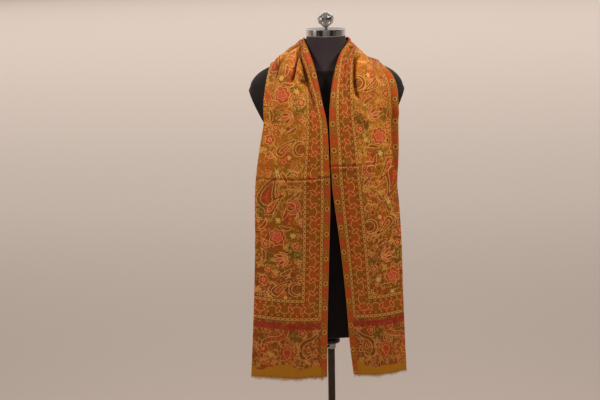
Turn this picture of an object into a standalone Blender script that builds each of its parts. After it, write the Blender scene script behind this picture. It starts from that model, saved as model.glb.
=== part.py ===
"""Shawl folded in three, worn open round the neck of a limbless dress form on a pole stand."""

import math

import bmesh
import bpy
import numpy as np
from mathutils import Vector
from mathutils.bvhtree import BVHTree

# Main sizes in metres. The front of the form faces -Y and Z is up.
NECK_TOP = 1.45
CM = 0.01

WALL = 0.0012
LAYER_PITCH = 0.0024
INNER_FOLD_INSET = 0.055
SEAM_STEP = 0.008
CLOTH_OFF_BODY = 0.0026
SELVEDGE_SINK = 0.20
SELVEDGE_SWING = 0.85

FALL_LOWER_ROWS = 8
FALL_UPPER_ROWS = 17
FALL_BREAK_ROW = 5.0
WRAP_ROWS = 19
FRONT_COLUMNS = 15
HIDDEN_COLUMNS = 6
TURN_COLUMNS = 2

SHOULDER_ROW_LEFT = 13.0
SHOULDER_ROW_RIGHT = 19.0
LAST_ROW = 32.0

FRINGE_STRANDS = 42
FRINGE_STRIP = 0.0020
FRINGE_STRAND = 0.0040
FRINGE_PARTING = 0.0004
FRINGE_WALL = 0.0010

NECK_GAP = 0.0003
CAP_RADIUS = 0.0495
CAP_HEIGHT = 0.0185
BALL_RADIUS = 0.0205
BALL_HEIGHT = 0.0405
POLE_RADIUS = 0.0095
SOCKET_TOP = -0.7603
SOCKET_FOOT = -0.8045
COLLAR_HEIGHT = 0.0170
COLLAR_RADIUS = 0.0120
BASE_RADIUS = 0.2150
BASE_HEIGHT = 0.0160
POLE_ACROSS = 0.0040

# Torso rings, in centimetres from the neck top, bottom ring first.
# Columns: height, half width, reach to the front, reach to the back, rise from front to back, roundness.
TORSO_RINGS = (
    (-76.00, 16.3, 10.2, 11.0, 0.00, 0.92),
    (-75.40, 16.9, 10.8, 11.5, 0.00, 0.92),
    (-71.00, 17.3, 11.1, 12.0, 0.00, 0.90),
    (-64.00, 17.3, 11.0, 12.2, 0.00, 0.90),
    (-56.00, 15.6, 10.2, 10.4, 0.00, 0.92),
    (-48.00, 13.3, 9.3, 8.6, 0.00, 0.94),
    (-43.00, 12.9, 9.2, 8.3, 0.00, 0.94),
    (-37.00, 13.7, 10.2, 8.8, 0.00, 0.92),
    (-32.00, 14.5, 11.1, 9.6, 0.00, 0.90),
    (-28.00, 15.1, 11.6, 10.4, 0.00, 0.88),
    (-25.00, 15.2, 11.5, 10.8, 0.00, 0.86),
    (-22.40, 15.1, 11.0, 11.0, 0.00, 0.86),
    (-20.60, 17.6, 10.7, 11.0, 0.00, 0.86),
    (-18.60, 19.5, 10.3, 10.9, 0.01, 0.86),
    (-16.50, 20.2, 9.8, 10.8, 0.02, 0.86),
    (-14.20, 20.0, 9.3, 10.4, 0.04, 0.87),
    (-12.70, 19.4, 8.9, 9.9, 0.07, 0.88),
    (-11.30, 18.9, 8.5, 9.2, 0.10, 0.90),
    (-10.20, 18.1, 8.2, 8.6, 0.14, 0.92),
    (-9.30, 17.1, 7.9, 8.0, 0.18, 0.94),
    (-8.50, 15.6, 7.6, 7.5, 0.22, 0.96),
    (-7.80, 13.6, 7.4, 7.0, 0.26, 0.98),
    (-7.20, 11.4, 7.2, 6.6, 0.29, 1.00),
    (-6.60, 9.2, 7.1, 6.3, 0.31, 1.00),
    (-6.03, 7.0, 7.0, 6.0, 0.33, 1.00),
)
TORSO_SIDES = 40
BUST_FORWARD = 2.0
BUST_ACROSS = 7.8
BUST_HEIGHT = -27.0
BUST_SPREAD = 5.2

# Neck rings, same columns as the torso rings.
NECK_RINGS = (
    (-6.00, 6.70, 6.75, 5.75, 0.33, 1.00),
    (-5.30, 6.15, 6.30, 5.50, 0.28, 1.00),
    (-4.20, 5.60, 5.75, 5.30, 0.17, 1.00),
    (-3.00, 5.25, 5.35, 5.20, 0.08, 1.00),
    (-1.60, 5.05, 5.10, 5.05, 0.02, 1.00),
    (-0.10, 4.88, 4.88, 4.88, 0.00, 1.00),
)
NECK_SIDES = 36

# Flat cut at each arm, and the oval plate on it.
ARM_CUT_POINT = (19.45, 0.0, -13.6)
ARM_CUT_DOWN = (-3.15, 0.0, -6.60)
ARM_CUT_FOOT = -0.2245
ARM_PLATE_DROP = 4.9
ARM_PLATE_DEPTH = 0.4
ARM_PLATE_HALF_HEIGHT = 0.0410
ARM_PLATE_HALF_WIDTH = 0.0330
ARM_PLATE_THICK = 0.0024

# The folded band, from the left hem (row 0) up and round the neck to the right hem (row 32).
# Columns in centimetres from the neck top: inner edge across, depth, height; outer fold across,
# depth, height; bulge to the front; bulge upward; how far the hidden selvedge passes the fold.
BAND_ROWS = (
    (-1.05, -13.8, -85.0, -20.45, -10.8, -85.0, 1.9, 0.0, 0.1),
    (-0.95, -13.9, -76.0, -19.85, -10.6, -76.0, 2.0, 0.0, 0.1),
    (-0.60, -14.0, -64.0, -19.15, -10.4, -64.0, 2.2, 0.0, 0.2),
    (-0.15, -14.2, -51.0, -18.60, -10.2, -51.0, 2.3, 0.0, 0.2),
    (0.20, -14.4, -40.0, -18.40, -10.0, -40.0, 2.4, 0.0, 0.3),
    (0.18, -14.5, -33.7, -18.00, -9.7, -34.3, 2.5, 0.0, 0.3),
    (0.00, -14.2, -27.0, -17.00, -9.0, -27.3, 2.7, 0.0, 0.3),
    (-0.35, -13.0, -20.2, -15.80, -7.6, -20.6, 2.8, 0.0, 0.3),
    (-1.40, -11.5, -15.2, -15.80, -7.9, -16.3, 2.3, 0.1, 0.3),
    (-2.20, -9.5, -11.2, -15.30, -6.6, -12.9, 1.8, 0.2, 0.3),
    (-3.00, -7.5, -7.6, -14.80, -5.3, -10.4, 1.3, 0.4, 0.3),
    (-3.85, -5.5, -4.7, -14.40, -3.2, -8.8, 0.8, 0.5, 0.3),
    (-4.70, -3.0, -2.2, -14.00, -0.6, -7.7, 0.3, 0.3, 0.3),
    (-5.35, 0.3, -0.5, -13.50, 2.4, -7.9, 0.0, 0.1, 0.3),
    (-5.00, 3.1, -0.9, -12.60, 5.9, -9.4, -0.4, -0.2, 0.3),
    (-3.20, 5.3, -1.2, -8.60, 9.9, -12.6, -0.8, -0.3, 0.3),
    (0.00, 6.3, -1.4, 0.00, 12.2, -14.9, -1.0, -0.3, 0.4),
    (3.20, 5.3, -1.2, 8.60, 9.9, -12.8, -0.8, -0.3, 0.4),
    (4.85, 3.1, -0.9, 12.40, 5.9, -9.8, -0.4, -0.3, 0.5),
    (5.15, 0.3, -0.6, 12.60, 2.0, -8.7, 0.0, 0.0, 0.9),
    (4.20, -3.0, -2.5, 13.10, -0.9, -8.5, 0.5, 0.4, 1.5),
    (3.05, -5.5, -4.8, 13.40, -3.2, -9.4, 1.1, 0.6, 2.3),
    (2.10, -7.5, -7.4, 13.80, -5.2, -11.0, 1.5, 0.5, 2.9),
    (1.20, -9.5, -11.0, 14.30, -6.7, -13.3, 1.9, 0.2, 3.1),
    (0.55, -11.6, -15.3, 14.70, -7.7, -16.4, 2.3, 0.1, 2.9),
    (0.30, -13.1, -20.2, 14.90, -8.0, -20.6, 2.6, 0.0, 3.0),
    (0.45, -14.2, -27.0, 15.60, -9.0, -27.3, 2.6, 0.0, 2.3),
    (0.65, -14.5, -34.0, 16.60, -9.7, -34.3, 2.4, 0.0, 1.0),
    (1.25, -14.4, -40.0, 17.35, -10.0, -40.0, 2.3, 0.0, 0.3),
    (2.60, -14.2, -51.0, 18.05, -10.2, -51.0, 2.1, 0.0, 0.2),
    (3.85, -14.0, -64.0, 18.45, -10.4, -64.0, 2.0, 0.0, 0.2),
    (4.70, -13.8, -76.0, 18.90, -10.6, -76.0, 1.8, 0.0, 0.2),
    (5.65, -13.8, -84.4, 19.30, -10.8, -84.3, 1.7, 0.0, 0.2),
)

# Largest folds of the front layer. Each has its line as (row, share across), its half width as a
# share across and its height in millimetres, below zero for a trough.
FOLDS = (
    ("left edge roll", ((13.0, 0.04), (11.5, 0.05), (10.0, 0.07), (8.5, 0.05), (7.0, 0.04)), 0.05, 3.5),
    ("left trough by the roll", ((13.2, 0.10), (11.6, 0.14), (10.2, 0.17), (9.0, 0.15), (7.4, 0.12)), 0.035, -3.0),
    ("left shoulder roll", ((15.0, 0.34), (13.0, 0.34), (11.5, 0.34), (10.2, 0.30), (9.0, 0.30)), 0.07, 6.0),
    ("left field fold", ((14.5, 0.66), (13.0, 0.66), (11.5, 0.68), (10.0, 0.70), (8.2, 0.74)), 0.06, 4.5),
    ("left lower swell", ((5.5, 0.36), (4.0, 0.34), (2.0, 0.40), (0.0, 0.42)), 0.16, 2.5),
    ("wrap upper roll", ((13.5, 0.22), (15.0, 0.25), (17.0, 0.24), (18.6, 0.22)), 0.08, 5.0),
    ("wrap middle roll", ((13.8, 0.50), (15.4, 0.56), (17.0, 0.55), (18.4, 0.50)), 0.07, 4.0),
    ("right neck hollow", ((17.8, 0.10), (19.0, 0.13), (20.2, 0.17), (21.2, 0.22)), 0.04, -3.0),
    ("right raised pleat", ((20.4, 0.26), (21.6, 0.26), (23.0, 0.24), (24.4, 0.20), (25.4, 0.18)), 0.035, 6.0),
    ("right shoulder roll", ((18.0, 0.48), (19.4, 0.50), (21.0, 0.54), (22.6, 0.56)), 0.08, 5.0),
    ("right swag", ((23.0, 0.34), (24.0, 0.46), (24.6, 0.62), (24.6, 0.80)), 0.06, 3.0),
    ("right lower swell", ((26.5, 0.40), (28.0, 0.36), (30.0, 0.44), (32.0, 0.40)), 0.16, 2.5),
)
FOLD_FADE_ROWS = 1.1

# Colours as linear values with roughness and metalness.
MATERIALS = {
    "shawl_cloth": ((0.42, 0.15, 0.025), 0.85, 0.0),
    "frayed_ends": ((0.45, 0.20, 0.04), 0.9, 0.0),
    "form_cloth": ((0.02, 0.015, 0.013), 0.8, 0.0),
    "neck_cloth": ((0.035, 0.028, 0.04), 0.8, 0.0),
    "plate_plastic": ((0.03, 0.03, 0.03), 0.5, 0.0),
    "chrome": ((0.8, 0.8, 0.8), 0.1, 1.0),
    "socket_metal": ((0.02, 0.02, 0.02), 0.5, 0.0),
    "collar_metal": ((0.35, 0.34, 0.33), 0.35, 1.0),
    "screw_metal": ((0.03, 0.03, 0.03), 0.4, 0.0),
    "pole_metal": ((0.30, 0.27, 0.25), 0.3, 1.0),
    "base_metal": ((0.04, 0.04, 0.042), 0.45, 0.0),
}


def clear_scene():
    for item in list(bpy.data.objects):
        bpy.data.objects.remove(item, do_unlink=True)


def material(name):
    colour, roughness, metalness = MATERIALS[name]
    made = bpy.data.materials.new(name)
    made.use_nodes = True
    shader = made.node_tree.nodes["Principled BSDF"]
    shader.inputs["Base Color"].default_value = (*colour, 1.0)
    shader.inputs["Roughness"].default_value = roughness
    shader.inputs["Metallic"].default_value = metalness
    made.diffuse_color = (*colour, 1.0)
    return made


def place(name, mesh, slot, collection):
    made = bpy.data.objects.new(name, mesh)
    made.data.materials.clear()
    made.data.materials.append(slot)
    collection.objects.link(made)
    return made


def bake_modifiers(item):
    bpy.context.view_layer.update()
    graph = bpy.context.evaluated_depsgraph_get()
    baked = bpy.data.meshes.new_from_object(item.evaluated_get(graph))
    item.modifiers.clear()
    old = item.data
    item.data = baked
    bpy.data.meshes.remove(old)


def face_out(mesh):
    work = bmesh.new()
    work.from_mesh(mesh)
    bmesh.ops.recalc_face_normals(work, faces=work.faces)
    if work.calc_volume(signed=True) < 0.0:
        bmesh.ops.reverse_faces(work, faces=work.faces)
    work.to_mesh(mesh)
    work.free()


def turned(name, profile, steps, slot, collection):
    """Closed body turned about Z from (radius, height) points that run from the top down."""
    mesh = bpy.data.meshes.new(name)
    points = [(radius, 0.0, height) for radius, height in profile]
    mesh.from_pydata(points, [(i, i + 1) for i in range(len(points) - 1)], [])
    item = place(name, mesh, slot, collection)
    screw = item.modifiers.new("Turn", "SCREW")
    screw.axis = "Z"
    screw.steps = steps
    screw.render_steps = steps
    screw.use_merge_vertices = True
    screw.merge_threshold = 0.00001
    screw.use_smooth_shade = True
    bake_modifiers(item)
    work = bmesh.new()
    work.from_mesh(item.data)
    bmesh.ops.remove_doubles(work, verts=work.verts, dist=0.00001)
    work.to_mesh(item.data)
    work.free()
    face_out(item.data)
    return item


def rounded_disc(radius, foot, top, edge):
    """Profile of a disc with a quarter round at its top and foot edges."""
    turns = [math.radians(a) for a in (90, 60, 30, 0)]
    upper = [(radius - edge + edge * math.cos(a), top - edge + edge * math.sin(a)) for a in turns]
    lower = [(radius - edge + edge * math.cos(a), foot + edge - edge * math.sin(a)) for a in reversed(turns)]
    return [(0.0, top)] + upper + lower + [(0.0, foot)]


def ring_points(row, sides, bust):
    height, half, front, back, rise, roundness = row
    angle = np.arange(sides) * 2.0 * math.pi / sides
    across = np.sign(np.cos(angle)) * np.abs(np.cos(angle)) ** roundness
    deep = np.sign(np.sin(angle)) * np.abs(np.sin(angle)) ** roundness
    x = half * across
    y = np.where(deep < 0.0, front, back) * deep
    z = height + rise * y
    if bust:
        mound = np.exp(-((np.abs(x) - BUST_ACROSS) / BUST_SPREAD) ** 2)
        level = math.exp(-((height - BUST_HEIGHT) / BUST_SPREAD) ** 2)
        y = y - np.where(deep < 0.0, BUST_FORWARD * mound * level * np.minimum(1.0, -deep * 1.6), 0.0)
    return np.stack([x, y, z], axis=1) * CM + np.array([0.0, 0.0, NECK_TOP])


def lofted(name, rings, sides, bust, slot, collection):
    """Closed body through rings, with a flat face at each end."""
    work = bmesh.new()
    rows = []
    for ring in rings:
        points = ring_points(ring, sides, bust)
        rows.append([work.verts.new(point) for point in points])
    for low, high in zip(rows, rows[1:]):
        for i in range(sides):
            j = (i + 1) % sides
            work.faces.new((low[i], low[j], high[j], high[i]))
    work.faces.new(list(reversed(rows[0])))
    work.faces.new(rows[-1])
    mesh = bpy.data.meshes.new(name)
    work.to_mesh(mesh)
    work.free()
    face_out(mesh)
    return place(name, mesh, slot, collection)


def arm_frame(side):
    """Middle of the arm plate, its outward direction and its two flat directions."""
    down = Vector(ARM_CUT_DOWN).normalized()
    down.x *= side
    start = Vector(ARM_CUT_POINT) * CM
    start.x *= side
    start.z += NECK_TOP
    along = Vector((0.0, 1.0, 0.0))
    out = down.cross(along) * side
    out.normalize()
    if out.x * side < 0.0:
        out.negate()
    return start, down, along, out


def cut_arm(torso, side):
    start, down, along, out = arm_frame(side)
    work = bmesh.new()
    work.from_mesh(torso.data)
    foot = NECK_TOP + ARM_CUT_FOOT
    faces = [face for face in work.faces if min(v.co.z for v in face.verts) > foot and len(face.verts) == 4]
    edges = list({edge for face in faces for edge in face.edges})
    verts = list({vert for face in faces for vert in face.verts})
    parts = verts + edges + faces
    cut = bmesh.ops.bisect_plane(work, geom=parts, plane_co=start, plane_no=out, clear_outer=True)
    edges = [item for item in cut["geom_cut"] if isinstance(item, bmesh.types.BMEdge)]
    bmesh.ops.edgeloop_fill(work, edges=edges)
    bmesh.ops.remove_doubles(work, verts=work.verts, dist=0.0002)
    work.to_mesh(torso.data)
    work.free()
    face_out(torso.data)


def arm_plate(name, side, slot, collection):
    start, down, along, out = arm_frame(side)
    middle = start + down * (ARM_PLATE_DROP * CM) + along * (ARM_PLATE_DEPTH * CM)
    work = bmesh.new()
    bmesh.ops.create_circle(work, cap_ends=True, segments=24, radius=1.0)
    for vert in work.verts:
        tall = vert.co.x * ARM_PLATE_HALF_HEIGHT
        wide = vert.co.y * ARM_PLATE_HALF_WIDTH
        vert.co = middle + down * tall + along * wide + out * (0.0004 + ARM_PLATE_THICK * 0.5)
    mesh = bpy.data.meshes.new(name)
    work.to_mesh(mesh)
    work.free()
    item = place(name, mesh, slot, collection)
    thick = item.modifiers.new("Thickness", "SOLIDIFY")
    thick.thickness = ARM_PLATE_THICK
    thick.offset = 0.0
    edge = item.modifiers.new("Soft edge", "BEVEL")
    edge.width = 0.0007
    edge.segments = 2
    edge.limit_method = "ANGLE"
    bake_modifiers(item)
    face_out(item.data)
    return item


def through(rows, at):
    """Smooth curve through table rows, read at fractional row numbers."""
    rows = np.asarray(rows, float)
    at = np.asarray(at, float)
    first = np.clip(np.floor(at).astype(int), 0, len(rows) - 2)
    t = (at - first)[..., None]
    a = rows[np.maximum(first - 1, 0)]
    b = rows[first]
    c = rows[first + 1]
    d = rows[np.minimum(first + 2, len(rows) - 1)]
    return 0.5 * (2.0 * b + (c - a) * t + (2.0 * a - 5.0 * b + 4.0 * c - d) * t**2 + (3.0 * (b - c) + d - a) * t**3)


def band_base(row, across):
    """Middle of the front layer before its folds, at each row and share across."""
    table = through(BAND_ROWS, row)
    inner = table[..., 0:3]
    outer = table[..., 3:6]
    share = across[..., None]
    bulge = np.sin(math.pi * np.clip(across, 0.0, 1.0))
    point = inner + (outer - inner) * share
    point[..., 1] -= table[..., 6] * bulge
    point[..., 2] += table[..., 7] * bulge
    return point * CM + np.array([0.0, 0.0, NECK_TOP])


def fold_height(row, across):
    """Height of the folds in metres, measured out from the front layer."""
    total = np.zeros(np.broadcast(row, across).shape)
    for name, line, half, tall in FOLDS:
        ordered = sorted(line)
        rows = np.array([point[0] for point in ordered])
        shares = np.array([point[1] for point in ordered])
        middle = np.interp(row, rows, shares)
        before = np.clip((row - rows[0] + FOLD_FADE_ROWS) / FOLD_FADE_ROWS, 0.0, 1.0)
        after = np.clip((rows[-1] + FOLD_FADE_ROWS - row) / FOLD_FADE_ROWS, 0.0, 1.0)
        fade = (before * after) ** 2 * (3.0 - 2.0 * before * after)
        total = total + tall * 0.001 * fade * np.exp(-(((across - middle) / half) ** 2))
    hold = np.clip((1.0 - across) / 0.10, 0.0, 1.0)
    return total * hold * hold * (3.0 - 2.0 * hold)


def push_clear(points, clearance, body):
    """Move points out along the body's surface direction until each has its clearance."""
    flat = points.reshape(-1, 3).copy()
    need = clearance.reshape(-1)
    for index in range(len(flat)):
        for turn in range(3):
            place_now = Vector(flat[index])
            near, normal, face, distance = body.find_nearest(place_now, 0.05)
            if near is None:
                break
            signed = distance if (place_now - near).dot(normal) >= 0.0 else -distance
            if signed >= need[index] - 0.00002:
                break
            flat[index] = np.array(near + normal * need[index])
    return flat.reshape(points.shape)


def soften(move):
    """Average a row-and-column field of moves with its neighbours."""
    grown = np.pad(move, ((1, 1), (1, 1), (0, 0)), mode="edge")
    near = grown[:-2, 1:-1] + grown[2:, 1:-1] + grown[1:-1, :-2] + grown[1:-1, 2:]
    return np.maximum(np.abs(move), np.abs(move * 0.5 + near * 0.125)) * np.sign(move + near * 0.25)


def unit(vectors):
    return vectors / np.maximum(np.linalg.norm(vectors, axis=-1, keepdims=True), 1e-12)


def band_surface(rows, body):
    """Front layer grid, its outward directions and its across directions, clear of the body."""
    shares = np.linspace(0.0, 1.0, FRONT_COLUMNS)
    row_grid, share_grid = np.meshgrid(rows, shares, indexing="ij")
    points = band_base(row_grid, share_grid)
    full = 2.0 * LAYER_PITCH + WALL * 0.5 + CLOTH_OFF_BODY
    edge = WALL * 0.5 + CLOTH_OFF_BODY
    reach = np.clip(share_grid / (2.0 * INNER_FOLD_INSET), 0.0, 1.0)
    need = edge + (full - edge) * reach
    moved = push_clear(points, need, body)
    points = push_clear(points + soften(moved - points), need, body)
    step = 0.02
    along = band_base(np.minimum(row_grid + step, LAST_ROW), share_grid)
    along = along - band_base(np.maximum(row_grid - step, 0.0), share_grid)
    wide = np.gradient(points, axis=1)
    out = unit(np.cross(along, wide))
    return share_grid, row_grid, points, out, unit(wide)


def folded_sheet(rows, body):
    """Grid of the whole band in three layers: front, hidden middle and back layer."""
    share, row, front, out, wide = band_surface(rows, body)
    count = len(rows)
    columns = []
    raised = front + out * fold_height(row, share)[..., None]
    for j in range(FRONT_COLUMNS):
        columns.append(raised[:, j])
    half = LAYER_PITCH * 0.5
    centre = front[:, -1] - out[:, -1] * half
    for k in range(1, TURN_COLUMNS + 1):
        turn = math.pi * k / (TURN_COLUMNS + 1)
        columns.append(centre + out[:, -1] * half * math.cos(turn) + wide[:, -1] * half * math.sin(turn))
    places = np.linspace(1.0, INNER_FOLD_INSET, HIDDEN_COLUMNS)
    shares = np.linspace(0.0, 1.0, FRONT_COLUMNS)

    def sample(grid, place_now):
        spot = place_now * (FRONT_COLUMNS - 1)
        low = min(int(spot), FRONT_COLUMNS - 2)
        return grid[:, low] + (grid[:, low + 1] - grid[:, low]) * (spot - low)

    for place_now in places:
        columns.append(sample(front, place_now) - unit(sample(out, place_now)) * LAYER_PITCH)
    fold_point = sample(front, INNER_FOLD_INSET)
    fold_out = unit(sample(out, INNER_FOLD_INSET))
    fold_wide = unit(sample(wide, INNER_FOLD_INSET))
    centre = fold_point - fold_out * (LAYER_PITCH + half)
    for k in range(1, TURN_COLUMNS + 1):
        turn = math.pi * k / (TURN_COLUMNS + 1)
        columns.append(centre + fold_out * half * math.cos(turn) - fold_wide * half * math.sin(turn))
    for place_now in reversed(places):
        columns.append(sample(front, place_now) - unit(sample(out, place_now)) * (2.0 * LAYER_PITCH))
    peek = through(BAND_ROWS, rows)[:, 8] * CM
    base = columns[-1]
    heading = unit(columns[-1] - columns[-2])
    aside = np.sign(base[:, 0:1]) * np.array([[1.0, 0.0, 0.0]])
    for part in (0.34, 0.67, 1.0):
        length = (peek * part)[:, None]
        swing = np.clip(peek / CM - 0.5, 0.0, 1.0)[:, None] * min(1.0, part * 1.4) * SELVEDGE_SWING
        turned_heading = unit(heading * (1.0 - swing) + aside * swing)
        sink = SELVEDGE_SINK * part * (1.0 - swing)
        beyond = base + turned_heading * length - out[:, -1] * length * sink
        need = np.full(count, WALL * 0.5 + CLOTH_OFF_BODY + 0.0006)
        columns.append(push_clear(beyond, need, body))
    return np.stack(columns, axis=1)


def sheet_body(name, grid, wall, slot, collection, keep=None):
    """Closed cloth body on a grid of points, with its wall centred on the grid."""
    count, wide = grid.shape[:2]
    faces = []
    for i in range(count - 1):
        for j in range(wide - 1):
            if keep is None or keep(i, j):
                a = i * wide + j
                faces.append((a, a + wide, a + wide + 1, a + 1))
    mesh = bpy.data.meshes.new(name)
    mesh.from_pydata([tuple(point) for point in grid.reshape(-1, 3)], [], faces)
    work = bmesh.new()
    work.from_mesh(mesh)
    loose = [vert for vert in work.verts if not vert.link_faces]
    bmesh.ops.delete(work, geom=loose, context="VERTS")
    work.to_mesh(mesh)
    work.free()
    item = place(name, mesh, slot, collection)
    thick = item.modifiers.new("Wall", "SOLIDIFY")
    thick.thickness = wall
    thick.offset = 0.0
    thick.use_rim = True
    bake_modifiers(item)
    face_out(item.data)
    return item


def fall_rows(shoulder, hem):
    """Rows of a fall from its shoulder line to its hem, closer together near the shoulder."""
    edge = FALL_BREAK_ROW if hem < shoulder else LAST_ROW - FALL_BREAK_ROW
    upper = np.linspace(shoulder, edge, FALL_UPPER_ROWS)
    lower = np.linspace(edge, hem, FALL_LOWER_ROWS)
    return np.sort(np.concatenate([upper, lower[1:]]))


def fringe_body(name, hem, slot, collection):
    """Backing strip with strands below it, along the hem line of one fall."""
    steps = np.linalg.norm(np.diff(hem, axis=0), axis=1)
    length = np.concatenate([[0.0], np.cumsum(steps)])
    count = 2 * FRINGE_STRANDS + 1
    pitch = length[-1] / FRINGE_STRANDS
    marks = []
    for strand in range(FRINGE_STRANDS):
        middle = (strand + 0.5) * pitch
        marks.extend([middle - 0.14 * pitch, middle + 0.14 * pitch])
    marks = [0.0] + marks + [length[-1]]
    line = np.stack([np.interp(marks, length, hem[:, axis]) for axis in range(3)], axis=1)
    top = line - np.array([0.0, 0.0, FRINGE_PARTING])
    foot = top - np.array([0.0, 0.0, FRINGE_STRIP])
    tips = foot - np.array([0.0, 0.0, FRINGE_STRAND])
    grid = np.stack([top, foot, tips], axis=0)

    def keep(i, j):
        return i == 0 or j % 2 == 1

    return sheet_body(name, grid, FRINGE_WALL, slot, collection, keep)


def body_tree(items):
    """Search tree over the form, to hold the cloth clear of it."""
    points = []
    faces = []
    for item in items:
        start = len(points)
        points.extend([vert.co.copy() for vert in item.data.vertices])
        item.data.calc_loop_triangles()
        faces.extend([tuple(start + i for i in tri.vertices) for tri in item.data.loop_triangles])
    return BVHTree.FromPolygons(points, faces)


def build():
    clear_scene()
    collection = bpy.data.collections.new("shawl")
    bpy.context.scene.collection.children.link(collection)
    slots = {name: material(name) for name in MATERIALS}

    torso = lofted("torso", TORSO_RINGS, TORSO_SIDES, True, slots["form_cloth"], collection)
    cut_arm(torso, -1.0)
    cut_arm(torso, 1.0)
    neck = lofted("neck", NECK_RINGS, NECK_SIDES, False, slots["neck_cloth"], collection)
    left_plate = arm_plate("arm_plate_left", -1.0, slots["plate_plastic"], collection)
    right_plate = arm_plate("arm_plate_right", 1.0, slots["plate_plastic"], collection)

    cap_foot = NECK_TOP - 0.001 + NECK_GAP
    cap_top = cap_foot + CAP_HEIGHT
    cap = turned("neck_cap", rounded_disc(CAP_RADIUS, cap_foot, cap_top, 0.0022), 36, slots["chrome"], collection)
    ball_middle = NECK_TOP + BALL_HEIGHT
    stem_foot = cap_top + NECK_GAP
    ball = [(0.0, ball_middle + BALL_RADIUS)]
    for angle in range(75, -76, -15):
        turn = math.radians(angle)
        ball.append((BALL_RADIUS * math.cos(turn), ball_middle + BALL_RADIUS * math.sin(turn)))
    ball.append((0.0056, stem_foot + 0.0006))
    ball.append((0.0056, stem_foot))
    ball.append((0.0, stem_foot))
    turned("cap_ball", ball, 24, slots["chrome"], collection)

    socket_top = NECK_TOP + SOCKET_TOP
    socket_foot = NECK_TOP + SOCKET_FOOT
    socket = [
        (0.0, socket_top),
        (0.0400, socket_top),
        (0.0400, socket_top - 0.0050),
        (0.0150, socket_top - 0.0070),
        (0.0150, socket_foot + 0.0090),
        (0.0225, socket_foot + 0.0078),
        (0.0230, socket_foot + 0.0060),
        (0.0230, socket_foot + 0.0010),
        (0.0220, socket_foot),
        (0.0, socket_foot),
    ]
    socket_item = turned("socket", socket, 24, slots["socket_metal"], collection)
    collar_top = socket_foot - NECK_GAP
    collar_foot = collar_top - COLLAR_HEIGHT
    collar_shape = rounded_disc(COLLAR_RADIUS, collar_foot, collar_top, 0.0012)
    collar = turned("clamp_collar", collar_shape, 20, slots["collar_metal"], collection)
    pole_top = collar_foot - NECK_GAP
    pole_shape = rounded_disc(POLE_RADIUS, BASE_HEIGHT + NECK_GAP, pole_top, 0.0006)
    pole = turned("pole", pole_shape, 20, slots["pole_metal"], collection)
    base_shape = [
        (0.0, BASE_HEIGHT),
        (0.0300, BASE_HEIGHT),
        (BASE_RADIUS - 0.0200, BASE_HEIGHT * 0.62),
        (BASE_RADIUS - 0.0060, BASE_HEIGHT * 0.50),
        (BASE_RADIUS - 0.0015, BASE_HEIGHT * 0.34),
        (BASE_RADIUS, BASE_HEIGHT * 0.18),
        (BASE_RADIUS - 0.0010, 0.0),
        (0.0, 0.0),
    ]
    turned("base", base_shape, 48, slots["base_metal"], collection)

    screw_shape = [
        (0.0, 0.0200),
        (0.0048, 0.0200),
        (0.0058, 0.0190),
        (0.0058, 0.0120),
        (0.0048, 0.0110),
        (0.0030, 0.0108),
        (0.0030, 0.0),
        (0.0, 0.0),
    ]
    screw = turned("clamp_screw", screw_shape, 14, slots["screw_metal"], collection)
    heading = Vector((-0.64, -0.77, 0.0)).normalized()
    start = Vector((0.0, 0.0, collar_foot + COLLAR_HEIGHT * 0.45))
    start += Vector((heading.x, heading.y, 0.0)).normalized() * (COLLAR_RADIUS + NECK_GAP + 0.0001)
    turn = heading.to_track_quat("Z", "Y").to_matrix().to_4x4()
    screw.data.transform(turn)
    for vert in screw.data.vertices:
        vert.co += start
    for item in (socket_item, collar, pole, screw):
        for vert in item.data.vertices:
            vert.co.x += POLE_ACROSS

    body = body_tree([torso, neck, left_plate, right_plate, cap])
    left_grid = folded_sheet(fall_rows(SHOULDER_ROW_LEFT - SEAM_STEP, 0.0), body)
    right_grid = folded_sheet(fall_rows(SHOULDER_ROW_RIGHT + SEAM_STEP, LAST_ROW), body)
    wrap_rows = np.linspace(SHOULDER_ROW_LEFT + SEAM_STEP, SHOULDER_ROW_RIGHT - SEAM_STEP, WRAP_ROWS)
    wrap_grid = folded_sheet(wrap_rows, body)
    cloth = slots["shawl_cloth"]
    sheet_body("fall_left", left_grid, WALL, cloth, collection)
    sheet_body("fall_right", right_grid, WALL, cloth, collection)
    sheet_body("neck_wrap", wrap_grid, WALL, cloth, collection)
    fringe_body("fringe_left", left_grid[0], slots["frayed_ends"], collection)
    fringe_body("fringe_right", right_grid[-1], slots["frayed_ends"], collection)


build()
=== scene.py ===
import math

import bmesh
import bpy
import numpy as np
from mathutils import Matrix, Vector
from mathutils.bvhtree import BVHTree


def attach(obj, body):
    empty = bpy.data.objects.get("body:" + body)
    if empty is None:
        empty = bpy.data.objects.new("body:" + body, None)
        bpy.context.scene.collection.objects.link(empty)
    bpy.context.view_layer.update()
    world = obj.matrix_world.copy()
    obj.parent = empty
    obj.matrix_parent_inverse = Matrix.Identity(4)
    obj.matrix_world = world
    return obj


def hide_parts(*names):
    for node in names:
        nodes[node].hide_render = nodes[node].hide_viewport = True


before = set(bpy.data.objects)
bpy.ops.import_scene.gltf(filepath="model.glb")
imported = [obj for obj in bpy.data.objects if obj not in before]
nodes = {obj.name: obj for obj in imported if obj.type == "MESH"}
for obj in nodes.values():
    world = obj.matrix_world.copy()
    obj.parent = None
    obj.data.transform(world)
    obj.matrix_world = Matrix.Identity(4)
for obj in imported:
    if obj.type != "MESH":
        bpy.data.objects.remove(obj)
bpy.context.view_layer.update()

# Sizes shared with the part, in metres unless a table says centimetres.
NECK_TOP = 1.45
CM = 0.01
MM = 0.001
CLOTH_WALL = 0.0008
LAYER_PITCH = 0.0022
INNER_FOLD_INSET = 0.055
CLOTH_OFF_BODY = 0.0028
SHOULDER_ROW_LEFT = 13.0
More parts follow.
